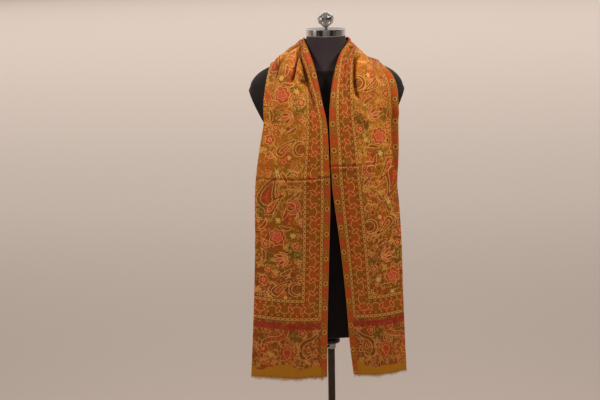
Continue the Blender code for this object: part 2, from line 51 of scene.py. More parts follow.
SHOULDER_ROW_RIGHT = 19.0
LAST_ROW = 32.0

# Cloth, in centimetres: the print is laid out on the flat shawl.
SHAWL_WIDTH = 57.5
SHAWL_LENGTH = 204.0
SECOND_FOLD = SHAWL_WIDTH * 2.0 / 3.0
THREAD_STEP = 0.23

# Torso and neck rings, in centimetres from the neck top.
# Columns: height, half width, reach to the front, reach to the back, rise from front to back, roundness.
TORSO_RINGS = (
    (-76, 16.3, 10.2, 11, 0, 0.92),
    (-75.4, 16.9, 10.8, 11.5, 0, 0.92),
    (-71, 17.3, 11.1, 12, 0, 0.9),
    (-64, 17.3, 11, 12.2, 0, 0.9),
    (-56, 15.6, 10.2, 10.4, 0, 0.92),
    (-48, 13.3, 9.3, 8.6, 0, 0.94),
    (-43, 12.9, 9.2, 8.3, 0, 0.94),
    (-37, 13.7, 10.2, 8.8, 0, 0.92),
    (-32, 14.5, 11.1, 9.6, 0, 0.9),
    (-28, 15.1, 11.6, 10.4, 0, 0.88),
    (-25, 15.2, 11.5, 10.8, 0, 0.86),
    (-22.4, 15.1, 11, 11, 0, 0.86),
    (-20.6, 17.6, 10.7, 11, 0, 0.86),
    (-18.6, 19.5, 10.3, 10.9, 0.01, 0.86),
    (-16.5, 20.2, 9.8, 10.8, 0.02, 0.86),
    (-14.2, 20, 9.3, 10.4, 0.04, 0.87),
    (-12.7, 19.4, 8.9, 9.9, 0.07, 0.88),
    (-11.3, 18.9, 8.5, 9.2, 0.1, 0.9),
    (-10.2, 18.1, 8.2, 8.6, 0.14, 0.92),
    (-9.3, 17.1, 7.9, 8, 0.18, 0.94),
    (-8.5, 15.6, 7.6, 7.5, 0.22, 0.96),
    (-7.8, 13.6, 7.4, 7, 0.26, 0.98),
    (-7.2, 11.4, 7.2, 6.6, 0.29, 1),
    (-6.6, 9.2, 7.1, 6.3, 0.31, 1),
    (-6.03, 7, 7, 6, 0.33, 1),
)
NECK_RINGS = (
    (-6, 6.7, 6.75, 5.75, 0.33, 1),
    (-5.3, 6.15, 6.3, 5.5, 0.28, 1),
    (-4.2, 5.6, 5.75, 5.3, 0.17, 1),
    (-3, 5.25, 5.35, 5.2, 0.08, 1),
    (-1.6, 5.05, 5.1, 5.05, 0.02, 1),
    (-0.1, 4.88, 4.88, 4.88, 0, 1),
)
BUST_FORWARD = 2.0
BUST_ACROSS = 7.8
BUST_HEIGHT = -27.0
BUST_SPREAD = 5.2
BUST_FROM_SIDE = 1.6
ARM_CUT_POINT = (19.45, 0.0, -13.6)
ARM_CUT_DOWN = (-3.15, 0.0, -6.6)
ARM_CUT_FOOT = -22.45

# The folded band from the left hem (row 0) up and round the neck to the right hem (row 32).
# Columns in centimetres from the neck top: inner edge across, depth, height; outer fold across,
# depth, height; bulge to the front; bulge upward; how far the hidden selvedge passes the fold.
BAND_ROWS = (
    (-1.05, -13.8, -85, -20.45, -10.8, -85, 1.9, 0, 0.1),
    (-0.95, -13.9, -76, -19.85, -10.6, -76, 2, 0, 0.1),
    (-0.6, -14, -64, -19.15, -10.4, -64, 2.2, 0, 0.2),
    (-0.15, -14.2, -51, -18.6, -10.2, -51, 2.3, 0, 0.2),
    (0.2, -14.4, -40, -18.4, -10, -40, 2.4, 0, 0.3),
    (0.18, -14.5, -33.7, -18, -9.7, -34.3, 2.5, 0, 0.3),
    (0, -14.2, -27, -17, -9, -27.3, 2.7, 0, 0.3),
    (-0.35, -13, -20.2, -15.8, -7.6, -20.6, 2.8, 0, 0.3),
    (-1.4, -11.5, -15.2, -15.8, -7.9, -16.3, 2.3, 0.1, 0.3),
    (-2.2, -9.5, -11.2, -15.3, -6.6, -12.9, 1.8, 0.2, 0.3),
    (-3, -7.5, -7.6, -14.8, -5.3, -10.4, 1.3, 0.4, 0.3),
    (-3.85, -5.5, -4.7, -14.4, -3.2, -8.8, 0.8, 0.5, 0.3),
    (-4.7, -3, -2.2, -14, -0.6, -7.7, 0.3, 0.3, 0.3),
    (-5.35, 0.3, -0.5, -13.5, 2.4, -7.9, 0, 0.1, 0.3),
    (-5, 3.1, -0.9, -12.6, 5.9, -9.4, -0.4, -0.2, 0.3),
    (-3.2, 5.3, -1.2, -8.6, 9.9, -12.6, -0.8, -0.3, 0.3),
    (0, 6.3, -1.4, 0, 12.2, -14.9, -1, -0.3, 0.4),
    (3.2, 5.3, -1.2, 8.6, 9.9, -12.8, -0.8, -0.3, 0.4),
    (4.85, 3.1, -0.9, 12.4, 5.9, -9.8, -0.4, -0.3, 0.5),
    (5.15, 0.3, -0.6, 12.6, 2, -8.7, 0, 0, 0.9),
    (4.2, -3, -2.5, 13.1, -0.9, -8.5, 0.5, 0.4, 1.5),
    (3.05, -5.5, -4.8, 13.4, -3.2, -9.4, 1.1, 0.6, 2.3),
    (2.1, -7.5, -7.4, 13.8, -5.2, -11, 1.5, 0.5, 2.9),
    (1.2, -9.5, -11, 14.3, -6.7, -13.3, 1.9, 0.2, 3.1),
    (0.55, -11.6, -15.3, 14.7, -7.7, -16.4, 2.3, 0.1, 2.9),
    (0.3, -13.1, -20.2, 14.9, -8, -20.6, 2.6, 0, 3),
    (0.45, -14.2, -27, 15.6, -9, -27.3, 2.6, 0, 2.3),
    (0.65, -14.5, -34, 16.6, -9.7, -34.3, 2.4, 0, 1),
    (1.25, -14.4, -40, 17.35, -10, -40, 2.3, 0, 0.3),
    (2.6, -14.2, -51, 18.05, -10.2, -51, 2.1, 0, 0.2),
    (3.85, -14, -64, 18.45, -10.4, -64, 2, 0, 0.2),
    (4.7, -13.8, -76, 18.9, -10.6, -76, 1.8, 0, 0.2),
    (5.65, -13.8, -84.4, 19.3, -10.8, -84.3, 1.7, 0, 0.2),
)

# Folds of the front layer, placed on the photo's creases, with like ones behind the neck.
# Columns: kind, half width in cm, height or depth in mm, fade at the start and at the end as shares
# of its length, and its line as (row, share across).
FOLDS = (
    ("roll", 0.95, 6, 0.25, 0.45, ((13.8, 0.02), (12.4, 0.03), (11.2, 0.09), (10, 0.09), (8.8, 0.07), (7.4, 0.05))),
    ("roll", 2.2, 5, 0.15, 0.4, ((13.2, 0.26), (12.5, 0.4), (11.6, 0.52), (10.6, 0.6), (9.4, 0.64), (8, 0.7))),
    ("roll", 0.72, 8, 0.15, 0.08, ((11.3, 0.262), (10.7, 0.285), (10.1, 0.3), (9.55, 0.318))),
    ("roll", 0.8, 3, 0.2, 0.4, ((12.7, 0.74), (11.9, 0.87), (11, 0.93), (10, 0.94), (8.6, 0.94))),
    ("roll", 0.6, 3.5, 0.3, 0.3, ((12.75, 0.52), (12.45, 0.66), (11.9, 0.78), (11.3, 0.84), (10.7, 0.87))),
    ("crease", 0.42, 6.5, 0.1, 0, ((14.6, 0.02), (13.6, 0.02), (12.5, 0.075), (12.04, 0.145), (11.44, 0.225))),
    ("crease", 0.45, 9, 0, 0.35, ((11.44, 0.225), (11.1, 0.215), (10.6, 0.225), (10, 0.215), (9.5, 0.2), (9, 0.19),
        (8.46, 0.165), (7.98, 0.15), (7.5, 0.155), (6.6, 0.185))),
    ("hollow", 0.55, 6, 0.3, 0.3, ((10.3, 0.222), (9.7, 0.207), (9.2, 0.196), (8.6, 0.175))),
    ("hollow", 0.66, 7, 0.18, 0.15, ((9.46, 0.34), (9.3, 0.285), (9.14, 0.225), (9, 0.165))),
    ("crease", 0.45, 7, 0, 0.35, ((11.4, 0.23), (10.9, 0.315), (10.4, 0.37), (9.9, 0.415), (9.5, 0.455),
        (8.9, 0.52))),
    ("crease", 0.85, 9, 0.08, 0.3, ((12.8, 0.05), (12.55, 0.15), (12.4, 0.3), (12.25, 0.44), (11.9, 0.57),
        (11.45, 0.665), (11, 0.725), (10.5, 0.76), (9.8, 0.785), (9, 0.8))),
    ("crease", 0.9, 2.6, 0.4, 0.4, ((8.9, 0.34), (8.6, 0.39), (8.1, 0.465), (7.62, 0.54), (7.2, 0.61))),
    ("roll", 1.3, 2.4, 0.35, 0.45, ((8.7, 0.28), (7.6, 0.36), (6.6, 0.4), (5.6, 0.4))),
    ("crease", 1.1, 1.6, 0.4, 0.5, ((8.2, 0.155), (7.2, 0.2), (6.2, 0.215), (5.3, 0.2))),
    ("crease", 0.55, 1.2, 0.4, 0.5, ((4.6, 0.62), (3.2, 0.66), (1.8, 0.6))),
    ("roll", 1.5, 1.8, 0.4, 0.5, ((4.4, 0.3), (2.8, 0.36), (1, 0.3))),
    ("roll", 1.6, 1.8, 0.4, 0.5, ((3.4, 0.84), (1.8, 0.8), (0.4, 0.86))),
    # Round the back of the neck.
    ("roll", 1.2, 3.5, 0.3, 0.3, ((13.6, 0.24), (14.8, 0.26), (16, 0.24), (17.2, 0.27), (18.4, 0.3))),
    ("crease", 0.4, 4, 0.25, 0.3, ((14, 0.4), (15, 0.42), (16, 0.4), (17, 0.44), (18.2, 0.42))),
    ("roll", 1.3, 3, 0.3, 0.4, ((14, 0.62), (15.2, 0.58), (16.4, 0.6), (17.8, 0.57))),
    ("crease", 0.34, 3.2, 0.4, 0.4, ((14.4, 0.78), (15.4, 0.73), (16.3, 0.75), (17.2, 0.72))),
    ("crease", 0.3, 2.6, 0.4, 0.4, ((15.2, 0.13), (16.2, 0.11), (17.4, 0.14))),
    ("roll", 1, 2.2, 0.4, 0.4, ((15, 0.88), (16.4, 0.9), (17.6, 0.87))),
    ("roll", 0.55, 5, 0.3, 0.3, ((14.1, 0.34), (15, 0.33), (16.1, 0.32), (17.2, 0.35), (18, 0.37))),
    ("roll", 0.5, 4.5, 0.3, 0.3, ((14.2, 0.5), (15.3, 0.49), (16.4, 0.5), (17.6, 0.5))),
    ("roll", 0.55, 4.5, 0.3, 0.3, ((14.3, 0.7), (15.2, 0.66), (16.3, 0.67), (17.5, 0.66))),
    ("roll", 0.5, 4, 0.3, 0.3, ((14.4, 0.83), (15.4, 0.81), (16.4, 0.83), (17.6, 0.8))),
    # Right side.
    ("roll", 0.7, 6, 0.25, 0.4, ((18.6, 0.02), (19.6, 0.04), (20.8, 0.05), (22.2, 0.05))),
    ("crease", 0.6, 8.5, 0.3, 0.25, ((18, 0.14), (18.6, 0.1), (19.1, 0.11), (19.5, 0.165), (19.85, 0.18))),
    ("roll", 0.3, 6, 0.25, 0.25, ((19.8, 0.115), (20.1, 0.105), (20.45, 0.14))),
    ("crease", 0.3, 6.5, 0.2, 0.2, ((20.02, 0.17), (20.14, 0.168), (20.3, 0.175))),
    ("roll", 0.35, 6.8, 0.25, 0.1, ((19.8, 0.225), (20.1, 0.235), (20.45, 0.205))),
    ("roll", 0.62, 11.9, 0.05, 0.35, ((20.42, 0.2), (21.02, 0.255), (21.58, 0.285), (22.2, 0.31), (22.72, 0.325),
        (23.22, 0.345), (23.78, 0.36), (24.44, 0.375))),
    ("crease", 0.6, 8.5, 0.1, 0.25, ((20.46, 0.3), (20.92, 0.345), (21.7, 0.37), (22.26, 0.38), (22.7, 0.395),
        (23.08, 0.41), (23.38, 0.43), (23.66, 0.475), (23.94, 0.54), (24.2, 0.62))),
    ("crease", 0.8, 3.4, 0.25, 0.4, ((20.6, 0.13), (21.32, 0.18), (22.14, 0.2), (22.92, 0.215), (23.82, 0.245),
        (24.8, 0.275))),
    ("roll", 0.9, 7.6, 0.2, 0.35, ((23.5, 0.42), (24, 0.45), (24.4, 0.48), (24.68, 0.525), (24.86, 0.575),
        (25, 0.64), (25.08, 0.73))),
    ("crease", 0.8, 2, 0.25, 0.4, ((24.4, 0.41), (24.9, 0.46), (25.3, 0.54), (25.5, 0.66))),
    ("roll", 2.2, 4, 0.25, 0.35, ((19.3, 0.62), (20.6, 0.64), (22, 0.66), (23.2, 0.7), (24, 0.72))),
    ("crease", 0.34, 4.5, 0.2, 0.3, ((18.6, 0.28), (18.92, 0.345), (19, 0.42), (19.02, 0.54), (18.95, 0.66))),
    ("roll", 1, 2.4, 0.35, 0.4, ((20.2, 0.86), (21.2, 0.88), (22.6, 0.9))),
    ("crease", 0.9, 1.4, 0.4, 0.5, ((25.6, 0.3), (26.8, 0.27), (28.2, 0.25))),
    ("roll", 1.5, 1.8, 0.4, 0.5, ((27.2, 0.66), (28.8, 0.7), (30.4, 0.62))),
    ("crease", 0.6, 1.2, 0.4, 0.5, ((28.6, 0.52), (30, 0.55), (31.4, 0.5))),
    ("roll", 1.3, 1.8, 0.4, 0.5, ((29, 0.2), (30.6, 0.22), (31.9, 0.28))),
)
# A crease of this size in mm takes away all the height it crosses, and this much more per mm of its size.
CREASE_FULL = 5.0
CREASE_BELOW = 0.2 * MM
# Half width of its flat bottom in cm.
CREASE_BOTTOM = 0.06
# The painted crease shade is darkest for a crease of this size in mm, where it cuts cloth raised by this many metres.
CREASE_DARKEST = 9.0
TALL_ENOUGH = 0.006
# The front layer never sinks further than this.
FOLD_FLOOR = 0.0008
# Gathered ground under the folds: at these rows its height in mm, and the share across where it has
# fallen to GATHER_REST of that.
GATHER_ROWS = (6.6, 8.6, 9.8, 11, 12, 13, 16, 18.9, 20, 21.2, 22.6, 24, 25.6)
GATHER_GROUND = (0, 8, 16, 16, 9, 4, 2.5, 4, 9, 15, 13, 7, 0)
GATHER_ENDS = (0.93, 0.93, 0.93, 0.93, 0.93, 0.8, 0.93, 0.66, 0.72, 0.93, 0.93, 0.93, 0.93)
# Shares across over which the ground rises at the inner edge and falls again, and what is left of it there.
GATHER_START = 0.06
GATHER_FADE = 0.22
GATHER_REST = 0.12
# Share across over which all folds fade out at the outer fold.
EDGE_FADE = 0.09
# Height of each hem above its plain line in mm, at even steps across the flat cloth, left hem first.
HEM_SHIFTS = (
    (0, 0.8, -1.2, 0.5, -2, -5.5, -3, 0.4, -1, 0.8, -1.4, 0.2, -2.6, -1, 0.6, -1.6),
    (-1, 0.9, -0.8, -2, -1.4, 0.6, -0.6, 0.5, -1.2, 0.4, -1, 0.6, -2.2, -0.6, 0.6, -0.8),
)
HEM_ROWS = 1.6
# Packing creases across the cloth. Columns: row at the inner edge, row at the fold, depth in mm, half width in cm.
PACKING_CREASES = (
    (5.06, 5, 3, 0.5),
    (26.5, 26.42, 2.6, 0.45),
    (0.95, 0.95, 0.5, 0.6),
    (16.05, 16.05, 1.2, 0.6),
)
# Where the print lies across. Columns: row, share across at the outer stripe, share at the inner
# stripe, flat centimetres at the fold.
PRINT_PLACES = (
    (0, 0.105, 0.335, 19.2),
    (5, 0.105, 0.335, 19.2),
    (7.1, 0.097, 0.287, 19.2),
    (8.2, 0.1, 0.227, 19.2),
    (9.5, 0.16, 0.225, 19.2),
    (11, 0.2, 0.258, 19.2),
    (12.04, 0.145, 0.205, 19.2),
    (13, 0.095, 0.16, 19.2),
    (14.5, 0.1, 0.25, 19.2),
    (16, 0.11, 0.33, 19.2),
    (19, 0.1, 0.32, 18.5),
    (21.4, 0.08, 0.3, 17.5),
    (22.6, 0.12, 0.33, 17),
    (24.4, 0.142, 0.37, 16.8),
    (25.6, 0.15, 0.41, 16.6),
    (27.3, 0.148, 0.415, 16.6),
    (28.8, 0.125, 0.4, 16.8),
    (32, 0.12, 0.4, 15.6),
)
STRIPE_OUTER = 2.15
STRIPE_INNER = 6.4
END_PANEL_TOP = 15.5
END_STRIPE_INNER = 20.3


def through(rows, at):
    """Smooth curve through table rows, read at fractional row numbers."""
    rows = np.asarray(rows, float)
    at = np.asarray(at, float)
    first = np.clip(np.floor(at).astype(int), 0, len(rows) - 2)
    t = (at - first).reshape(at.shape + (1,) * (rows.ndim - 1))
    a = rows[np.maximum(first - 1, 0)]
    b = rows[first]
    c = rows[first + 1]
    d = rows[np.minimum(first + 2, len(rows) - 1)]
    return 0.5 * (2.0 * b + (c - a) * t + (2.0 * a - 5.0 * b + 4.0 * c - d) * t**2 + (3.0 * (b - c) + d - a) * t**3)


def unit(vectors):
    return vectors / np.maximum(np.linalg.norm(vectors, axis=-1, keepdims=True), 1e-12)


def added(name, data):
    item = bpy.data.objects.new(name, data)
    bpy.context.scene.collection.objects.link(item)
    return item


def mesh_piece(name, points, faces, material):
    mesh = bpy.data.meshes.new(name)
    mesh.from_pydata([tuple(p) for p in points], [], faces)
    mesh.materials.append(material)
    mesh.shade_smooth()
    item = added(name, mesh)
    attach(item, "root")
    return item


# The dress form's cloth skin.

def ring_points(row, sides, bust):
    height, half, front, back, rise, roundness = row
    angle = np.arange(sides) * 2.0 * math.pi / sides
    across = np.sign(np.cos(angle)) * np.abs(np.cos(angle)) ** roundness
    deep = np.sign(np.sin(angle)) * np.abs(np.sin(angle)) ** roundness
    x = half * across
    y = np.where(deep < 0.0, front, back) * deep
    z = height + rise * y
    if bust:
        mound = np.exp(-(((np.abs(x) - BUST_ACROSS) / BUST_SPREAD) ** 2))
        level = math.exp(-(((height - BUST_HEIGHT) / BUST_SPREAD) ** 2))
        y = y - np.where(deep < 0.0, BUST_FORWARD * mound * level * np.minimum(1.0, -deep * BUST_FROM_SIDE), 0.0)
    return np.stack([x, y, z], axis=1) * CM + np.array([0.0, 0.0, NECK_TOP])


def lofted(name, table, count, sides, bust, material):
    rings = through(table, np.linspace(0.0, len(table) - 1.0, count))
    points = np.concatenate([ring_points(ring, sides, bust) for ring in rings])
    faces = []
    for i in range(count - 1):
        for j in range(sides):
            k = (j + 1) % sides
            faces.append((i * sides + j, i * sides + k, (i + 1) * sides + k, (i + 1) * sides + j))
    faces.append(tuple(range(sides - 1, -1, -1)))
    faces.append(tuple((count - 1) * sides + j for j in range(sides)))
    return mesh_piece(name, points, faces, material)


def cut_arm(item, side):
    down = Vector(ARM_CUT_DOWN).normalized()
    down.x *= side
    out = Vector((-down.z * side, 0.0, down.x * side)).normalized()
    if out.x * side < 0.0:
        out.negate()
    start = Vector(ARM_CUT_POINT) * CM
    start.x *= side
    start.z += NECK_TOP
    foot = NECK_TOP + ARM_CUT_FOOT * CM
    work = bmesh.new()
    work.from_mesh(item.data)
    faces = [f for f in work.faces if min(v.co.z for v in f.verts) > foot and len(f.verts) == 4]
    edges = list({e for f in faces for e in f.edges})
    verts = list({v for f in faces for v in f.verts})
    cut = bmesh.ops.bisect_plane(work, geom=verts + edges + faces, plane_co=start, plane_no=out, clear_outer=True)
    rim = [g for g in cut["geom_cut"] if isinstance(g, bmesh.types.BMEdge)]
    flat = bmesh.ops.edgeloop_fill(work, edges=rim)["faces"]
    for face in flat:
        face.smooth = False
    work.to_mesh(item.data)
    work.free()


# The cloth's shape.

def body_tree(names):
    points = []
    faces = []
    for name in names:
        mesh = nodes[name].data
        start = len(points)
        points.extend([v.co.copy() for v in mesh.vertices])
        mesh.calc_loop_triangles()
        faces.extend([tuple(start + i for i in t.vertices) for t in mesh.loop_triangles])
    return BVHTree.FromPolygons(points, faces)


def band_base(row, across):
    table = through(BAND_ROWS, row)
    inner = table[..., 0:3]
    outer = table[..., 3:6]
    bulge = np.sin(math.pi * np.clip(across, 0.0, 1.0))
    point = inner + (outer - inner) * across[..., None]
    point[..., 1] -= table[..., 6] * bulge
    point[..., 2] += table[..., 7] * bulge
    return point * CM + np.array([0.0, 0.0, NECK_TOP])


NEAREST_WITHIN = 0.05
CLEAR_ENOUGH = 0.00002


def push_clear(points, clearance, body):
    """Points moved out of the form until each has its own clearance."""
    flat = points.reshape(-1, 3).copy()
    need = clearance.reshape(-1)
    for index in range(len(flat)):
        for attempt in range(3):
            place_now = Vector(flat[index])
            near, normal, _, distance = body.find_nearest(place_now, NEAREST_WITHIN)
            if near is None:
                break
            signed = distance if (place_now - near).dot(normal) >= 0.0 else -distance
            if signed >= need[index] - CLEAR_ENOUGH:
                break
            flat[index] = np.array(near + normal * need[index])
    return flat.reshape(points.shape)


def blurred(field, times):
    for pass_number in range(times):
        grown = np.pad(field, ((1, 1), (1, 1), (0, 0)), mode="edge")
        near = grown[:-2, 1:-1] + grown[2:, 1:-1] + grown[1:-1, :-2] + grown[1:-1, 2:]
        field = field * 0.5 + near * 0.125
    return field


COARSE_PER_ROW = 5
COARSE_SHARES = 33


def coarse_band(body):
    """Front layer before its folds, held clear of the form, on an even coarse grid."""
    rows = np.linspace(0.0, LAST_ROW, int(LAST_ROW * COARSE_PER_ROW) + 1)
    shares = np.linspace(0.0, 1.0, COARSE_SHARES)
    row_grid, share_grid = np.meshgrid(rows, shares, indexing="ij")
    points = band_base(row_grid, share_grid)
    full = 2.0 * LAYER_PITCH + CLOTH_WALL * 0.5 + CLOTH_OFF_BODY
    edge = CLOTH_WALL * 0.5 + CLOTH_OFF_BODY
    reach = np.clip(share_grid / (2.0 * INNER_FOLD_INSET), 0.0, 1.0)
    need = edge + (full - edge) * reach
    for attempt in range(3):
        moved = push_clear(points, need, body)
        points = points + blurred(moved - points, 3)
    return points


def read_band(grid, row, share):
    """Smooth reading of the coarse band at rows (n) and shares (m): an n by m by 3 array."""
    along = through(grid, np.asarray(row) * COARSE_PER_ROW)
    return np.swapaxes(through(np.swapaxes(along, 0, 1), np.asarray(share) * (COARSE_SHARES - 1)), 0, 1)


def eased(value):
    held = np.clip(value, 0.0, 1.0)
    return held * held * (3.0 - 2.0 * held)


def line_gap(u, v, line):
    """Distance from each point to a line of points, and how far along the line the nearest place is."""
    best = np.full(u.shape, 1e3)
    reached = np.zeros(u.shape)
    steps = np.hypot(*np.diff(line, axis=0).T)
    walked = np.concatenate([[0.0], np.cumsum(steps)])
    for i, step in enumerate(steps):
        dx, dy = (line[i + 1] - line[i]) / max(step, 1e-9)
        along = np.clip((u - line[i, 0]) * dx + (v - line[i, 1]) * dy, 0.0, step)
        gap = np.hypot(u - line[i, 0] - along * dx, v - line[i, 1] - along * dy)
        closer = gap < best
        best = np.where(closer, gap, best)
        reached = np.where(closer, walked[i] + along, reached)
    return best, reached / walked[-1]


FRONT_COLUMNS = 84
TURN_COLUMNS = 3
MIDDLE_COLUMNS = 6
BACK_COLUMNS = 26
SELVEDGE_COLUMNS = 6
LINE_POINTS = 1601
WIDTH_EVERY = 20
ROW_STEP = 0.03
SHARE_STEP = 0.004
TURN_STEP = 0.1
SELVEDGE_CLEAR = CLOTH_WALL * 0.5 + CLOTH_OFF_BODY + 0.0006
# The falls keep their plain length over this many centimetres, and the neck takes up the rest.
FALL_LENGTH = 80.0


class Band:
    """The whole folded shawl: points and flat cloth places at any row."""

    def __init__(self):
        self.body = body_tree(["torso", "neck", "arm_plate_left", "arm_plate_right", "neck_cap"])
        self.grid = coarse_band(self.body)
        self.line_rows = np.linspace(0.0, LAST_ROW, LINE_POINTS)
        line = read_band(self.grid, self.line_rows, [0.5])[:, 0]
        steps = np.linalg.norm(np.diff(line, axis=0), axis=1)
        self.line_length = np.concatenate([[0.0], np.cumsum(steps)]) / CM
        self.length = self.line_length[-1]
        self.width_rows = self.line_rows[::WIDTH_EVERY]
        across = read_band(self.grid, self.width_rows, np.linspace(0.0, 1.0, 21))
        self.widths = np.linalg.norm(np.diff(across, axis=1), axis=2).sum(axis=1) / CM

    def along(self, row):
        """Centimetres from the left hem, measured along the middle of the band."""
        return np.interp(row, self.line_rows, self.line_length)

    def rows_between(self, first, last):
        start, end = self.along(first), self.along(last)
        count = max(2, int(round((end - start) / THREAD_STEP)) + 1)
        return np.interp(np.linspace(start, end, count), self.line_length, self.line_rows)

    def fold_height(self, row, share):
        """Height of the folds above the plain front layer, and the share of painted crease shade at each place."""
        # Raised ground of the gathered part, so that creases can dip without meeting the layer below.
        tall = np.interp(row, GATHER_ROWS, GATHER_GROUND) * MM * eased(share / GATHER_START + 0.3)
        ends = np.interp(row, GATHER_ROWS, GATHER_ENDS)
        tall = tall * (GATHER_REST + (1.0 - GATHER_REST) * eased((ends - share) / GATHER_FADE))
        crease_shade_share = np.zeros(tall.shape)
        u = share * np.interp(row, self.width_rows, self.widths)
        v = self.along(row)
        for kind, half, size, start, end, line in FOLDS:
            rows, shares = np.array(line, float).T
            knots = np.stack([shares * np.interp(rows, self.width_rows, self.widths), self.along(rows)], axis=1)
            reach = 4.0 * half
            low, high = knots.min(axis=0) - reach, knots.max(axis=0) + reach
            near = (u > low[0]) & (u < high[0]) & (v > low[1]) & (v < high[1])
            if not near.any():
                continue
            gap, at = line_gap(u[near], v[near], knots)
            fade = np.ones(gap.shape)
            if start:
                fade = fade * eased(at / start)
            if end:
                fade = fade * eased((1.0 - at) / end)
            if kind == "roll":
                tall[near] += size * MM * fade * np.exp(-((gap / half) ** 2))
                continue
            if kind == "crease":
                dip = fade * np.exp(-np.maximum(gap - CREASE_BOTTOM, 0.0) / half)
            else:
                dip = fade * (1.0 / (1.0 + (gap / half) ** 4))
            before = tall[near]
            tall[near] = before * (1.0 - min(size / CREASE_FULL, 1.0) * dip) - size * CREASE_BELOW * dip
            # Painted shade: how much the colour is darkened at the bottom of this crease.
            raised = np.clip(before / TALL_ENOUGH, 0.0, 1.0)
            crease_shade_share[near] += raised * min(size / CREASE_DARKEST, 1.0) * dip * dip
        for inner_row, fold_row, depth, half in PACKING_CREASES:
            gap = np.abs(v - self.along(inner_row + (fold_row - inner_row) * share)) / half
            tall += depth * MM * (gap * np.exp(1.0 - gap) - 0.25 * np.exp(-gap * 2.0))
        tall = np.where(tall < 0.0, -FOLD_FLOOR * (1.0 - np.exp(tall / FOLD_FLOOR)), tall)
        edge = eased((1.0 - share) / EDGE_FADE)
        return tall * edge, np.clip(crease_shade_share, 0.0, 1.0) * edge

    def flat_across(self, rows, shares):
        """Flat centimetres across at each row and share of the front layer."""
        table = np.array(PRINT_PLACES)
        first, second, width = (np.interp(rows, table[:, 0], table[:, k])[:, None] for k in (1, 2, 3))
        share = np.asarray(shares)[None, :]
        inside = share / first * STRIPE_OUTER
        middle = STRIPE_OUTER + (share - first) / (second - first) * (STRIPE_INNER - STRIPE_OUTER)
        outside = STRIPE_INNER + (share - second) / (1.0 - second) * (width - STRIPE_INNER)
        return np.where(share < first, inside, np.where(share < second, middle, outside))

    def front(self, rows, shares):
        """Points of the plain front layer, the way out from it and the way across it."""
        shares = np.asarray(shares)
        points = read_band(self.grid, rows, shares)
        along = read_band(self.grid, np.minimum(rows + ROW_STEP, LAST_ROW), shares)
        along = along - read_band(self.grid, np.maximum(rows - ROW_STEP, 0.0), shares)
        wide = read_band(self.grid, rows, np.minimum(shares + SHARE_STEP, 1.0))
        wide = wide - read_band(self.grid, rows, np.maximum(shares - SHARE_STEP, 0.0))
        return points, unit(np.cross(along, wide)), unit(wide)

    def column(self, rows, share):
        return [v[:, 0] for v in self.front(rows, [share])]

    def sheet(self, rows):
        """Grid of the band in three layers, the flat cloth place (across, along) and painted crease shade of each
        point.
        """
        shares = np.linspace(0.0, 1.0, FRONT_COLUMNS)
        points, out, wide = self.front(rows, shares)
        height, crease_shade_share = self.fold_height(*np.meshgrid(rows, shares, indexing="ij"))
        flat = self.flat_across(rows, shares)
        width = flat[:, -1]
        columns = list(np.swapaxes(points + out * height[..., None], 0, 1))
        places = list(flat.T)
        half = LAYER_PITCH * 0.5

        def turned_over(centre, normal, side, start):
            """The cloth's turn from one layer to the next."""
            for k in range(1, TURN_COLUMNS + 1):
                turn = math.pi * k / (TURN_COLUMNS + 1)
                columns.append(centre + normal * half * math.cos(turn) + side * half * math.sin(turn))
                places.append(start + TURN_STEP * k)

        fold_out, fold_wide = out[:, -1], wide[:, -1]
        turned_over(points[:, -1] - fold_out * half, fold_out, fold_wide, width)
        for share in np.linspace(1.0, INNER_FOLD_INSET, MIDDLE_COLUMNS):
            point, normal, _ = self.column(rows, share)
            columns.append(point - normal * LAYER_PITCH)
            places.append(width + 4.0 * TURN_STEP + (1.0 - share) * (SECOND_FOLD - 2.0 * TURN_STEP - width))
        point, normal, side = self.column(rows, INNER_FOLD_INSET)
        turned_over(point - normal * (LAYER_PITCH + half), normal, -side, np.full(len(rows), SECOND_FOLD))
        start = SECOND_FOLD + 4.0 * TURN_STEP
        beyond = through(BAND_ROWS, rows)[:, 8]
        for share in np.linspace(INNER_FOLD_INSET, 1.0, BACK_COLUMNS):
            point, normal, _ = self.column(rows, share)
            columns.append(point - normal * 2.0 * LAYER_PITCH)
            places.append(start + (share - INNER_FOLD_INSET) * (SHAWL_WIDTH - start - beyond))
        # The selvedge, which passes the fold a little and swings outward where it passes further.
        base = columns[-1]
        heading = unit(columns[-1] - columns[-2])
        need = np.full(len(rows), SELVEDGE_CLEAR)
        aside = np.sign(base[:, 0:1]) * np.array([[1.0, 0.0, 0.0]])
        for part in np.linspace(1.0 / SELVEDGE_COLUMNS, 1.0, SELVEDGE_COLUMNS):
            reach = (beyond * CM * part)[:, None]
            swing = np.clip(beyond - 0.5, 0.0, 1.0)[:, None] * min(1.0, part * 1.4) * 0.85
            point = base + unit(heading * (1.0 - swing) + aside * swing) * reach
            point = point - fold_out * reach * 0.2 * part * (1.0 - swing)
            columns.append(push_clear(point, need, self.body))
            places.append(SHAWL_WIDTH - beyond * (1.0 - part))
        grid = np.stack(columns, axis=1)
        across = np.stack(places, axis=1)
        # The hems hang a little unevenly.
        for shift, last in zip(HEM_SHIFTS, (0.0, LAST_ROW)):
            near_hem = eased(1.0 - np.abs(rows - last) / HEM_ROWS)[:, None]
            grid[..., 2] += through(shift, across / SHAWL_WIDTH * (len(shift) - 1.0)) * MM * near_hem
        along = np.interp(self.along(rows), [0.0, FALL_LENGTH, self.length - FALL_LENGTH, self.length],
                          [0.0, FALL_LENGTH, SHAWL_LENGTH - FALL_LENGTH, SHAWL_LENGTH])
        crease_shade_share = np.pad(crease_shade_share, ((0, 0), (0, grid.shape[1] - FRONT_COLUMNS)))
        return grid, across, np.repeat(along[:, None], grid.shape[1], axis=1), crease_shade_share


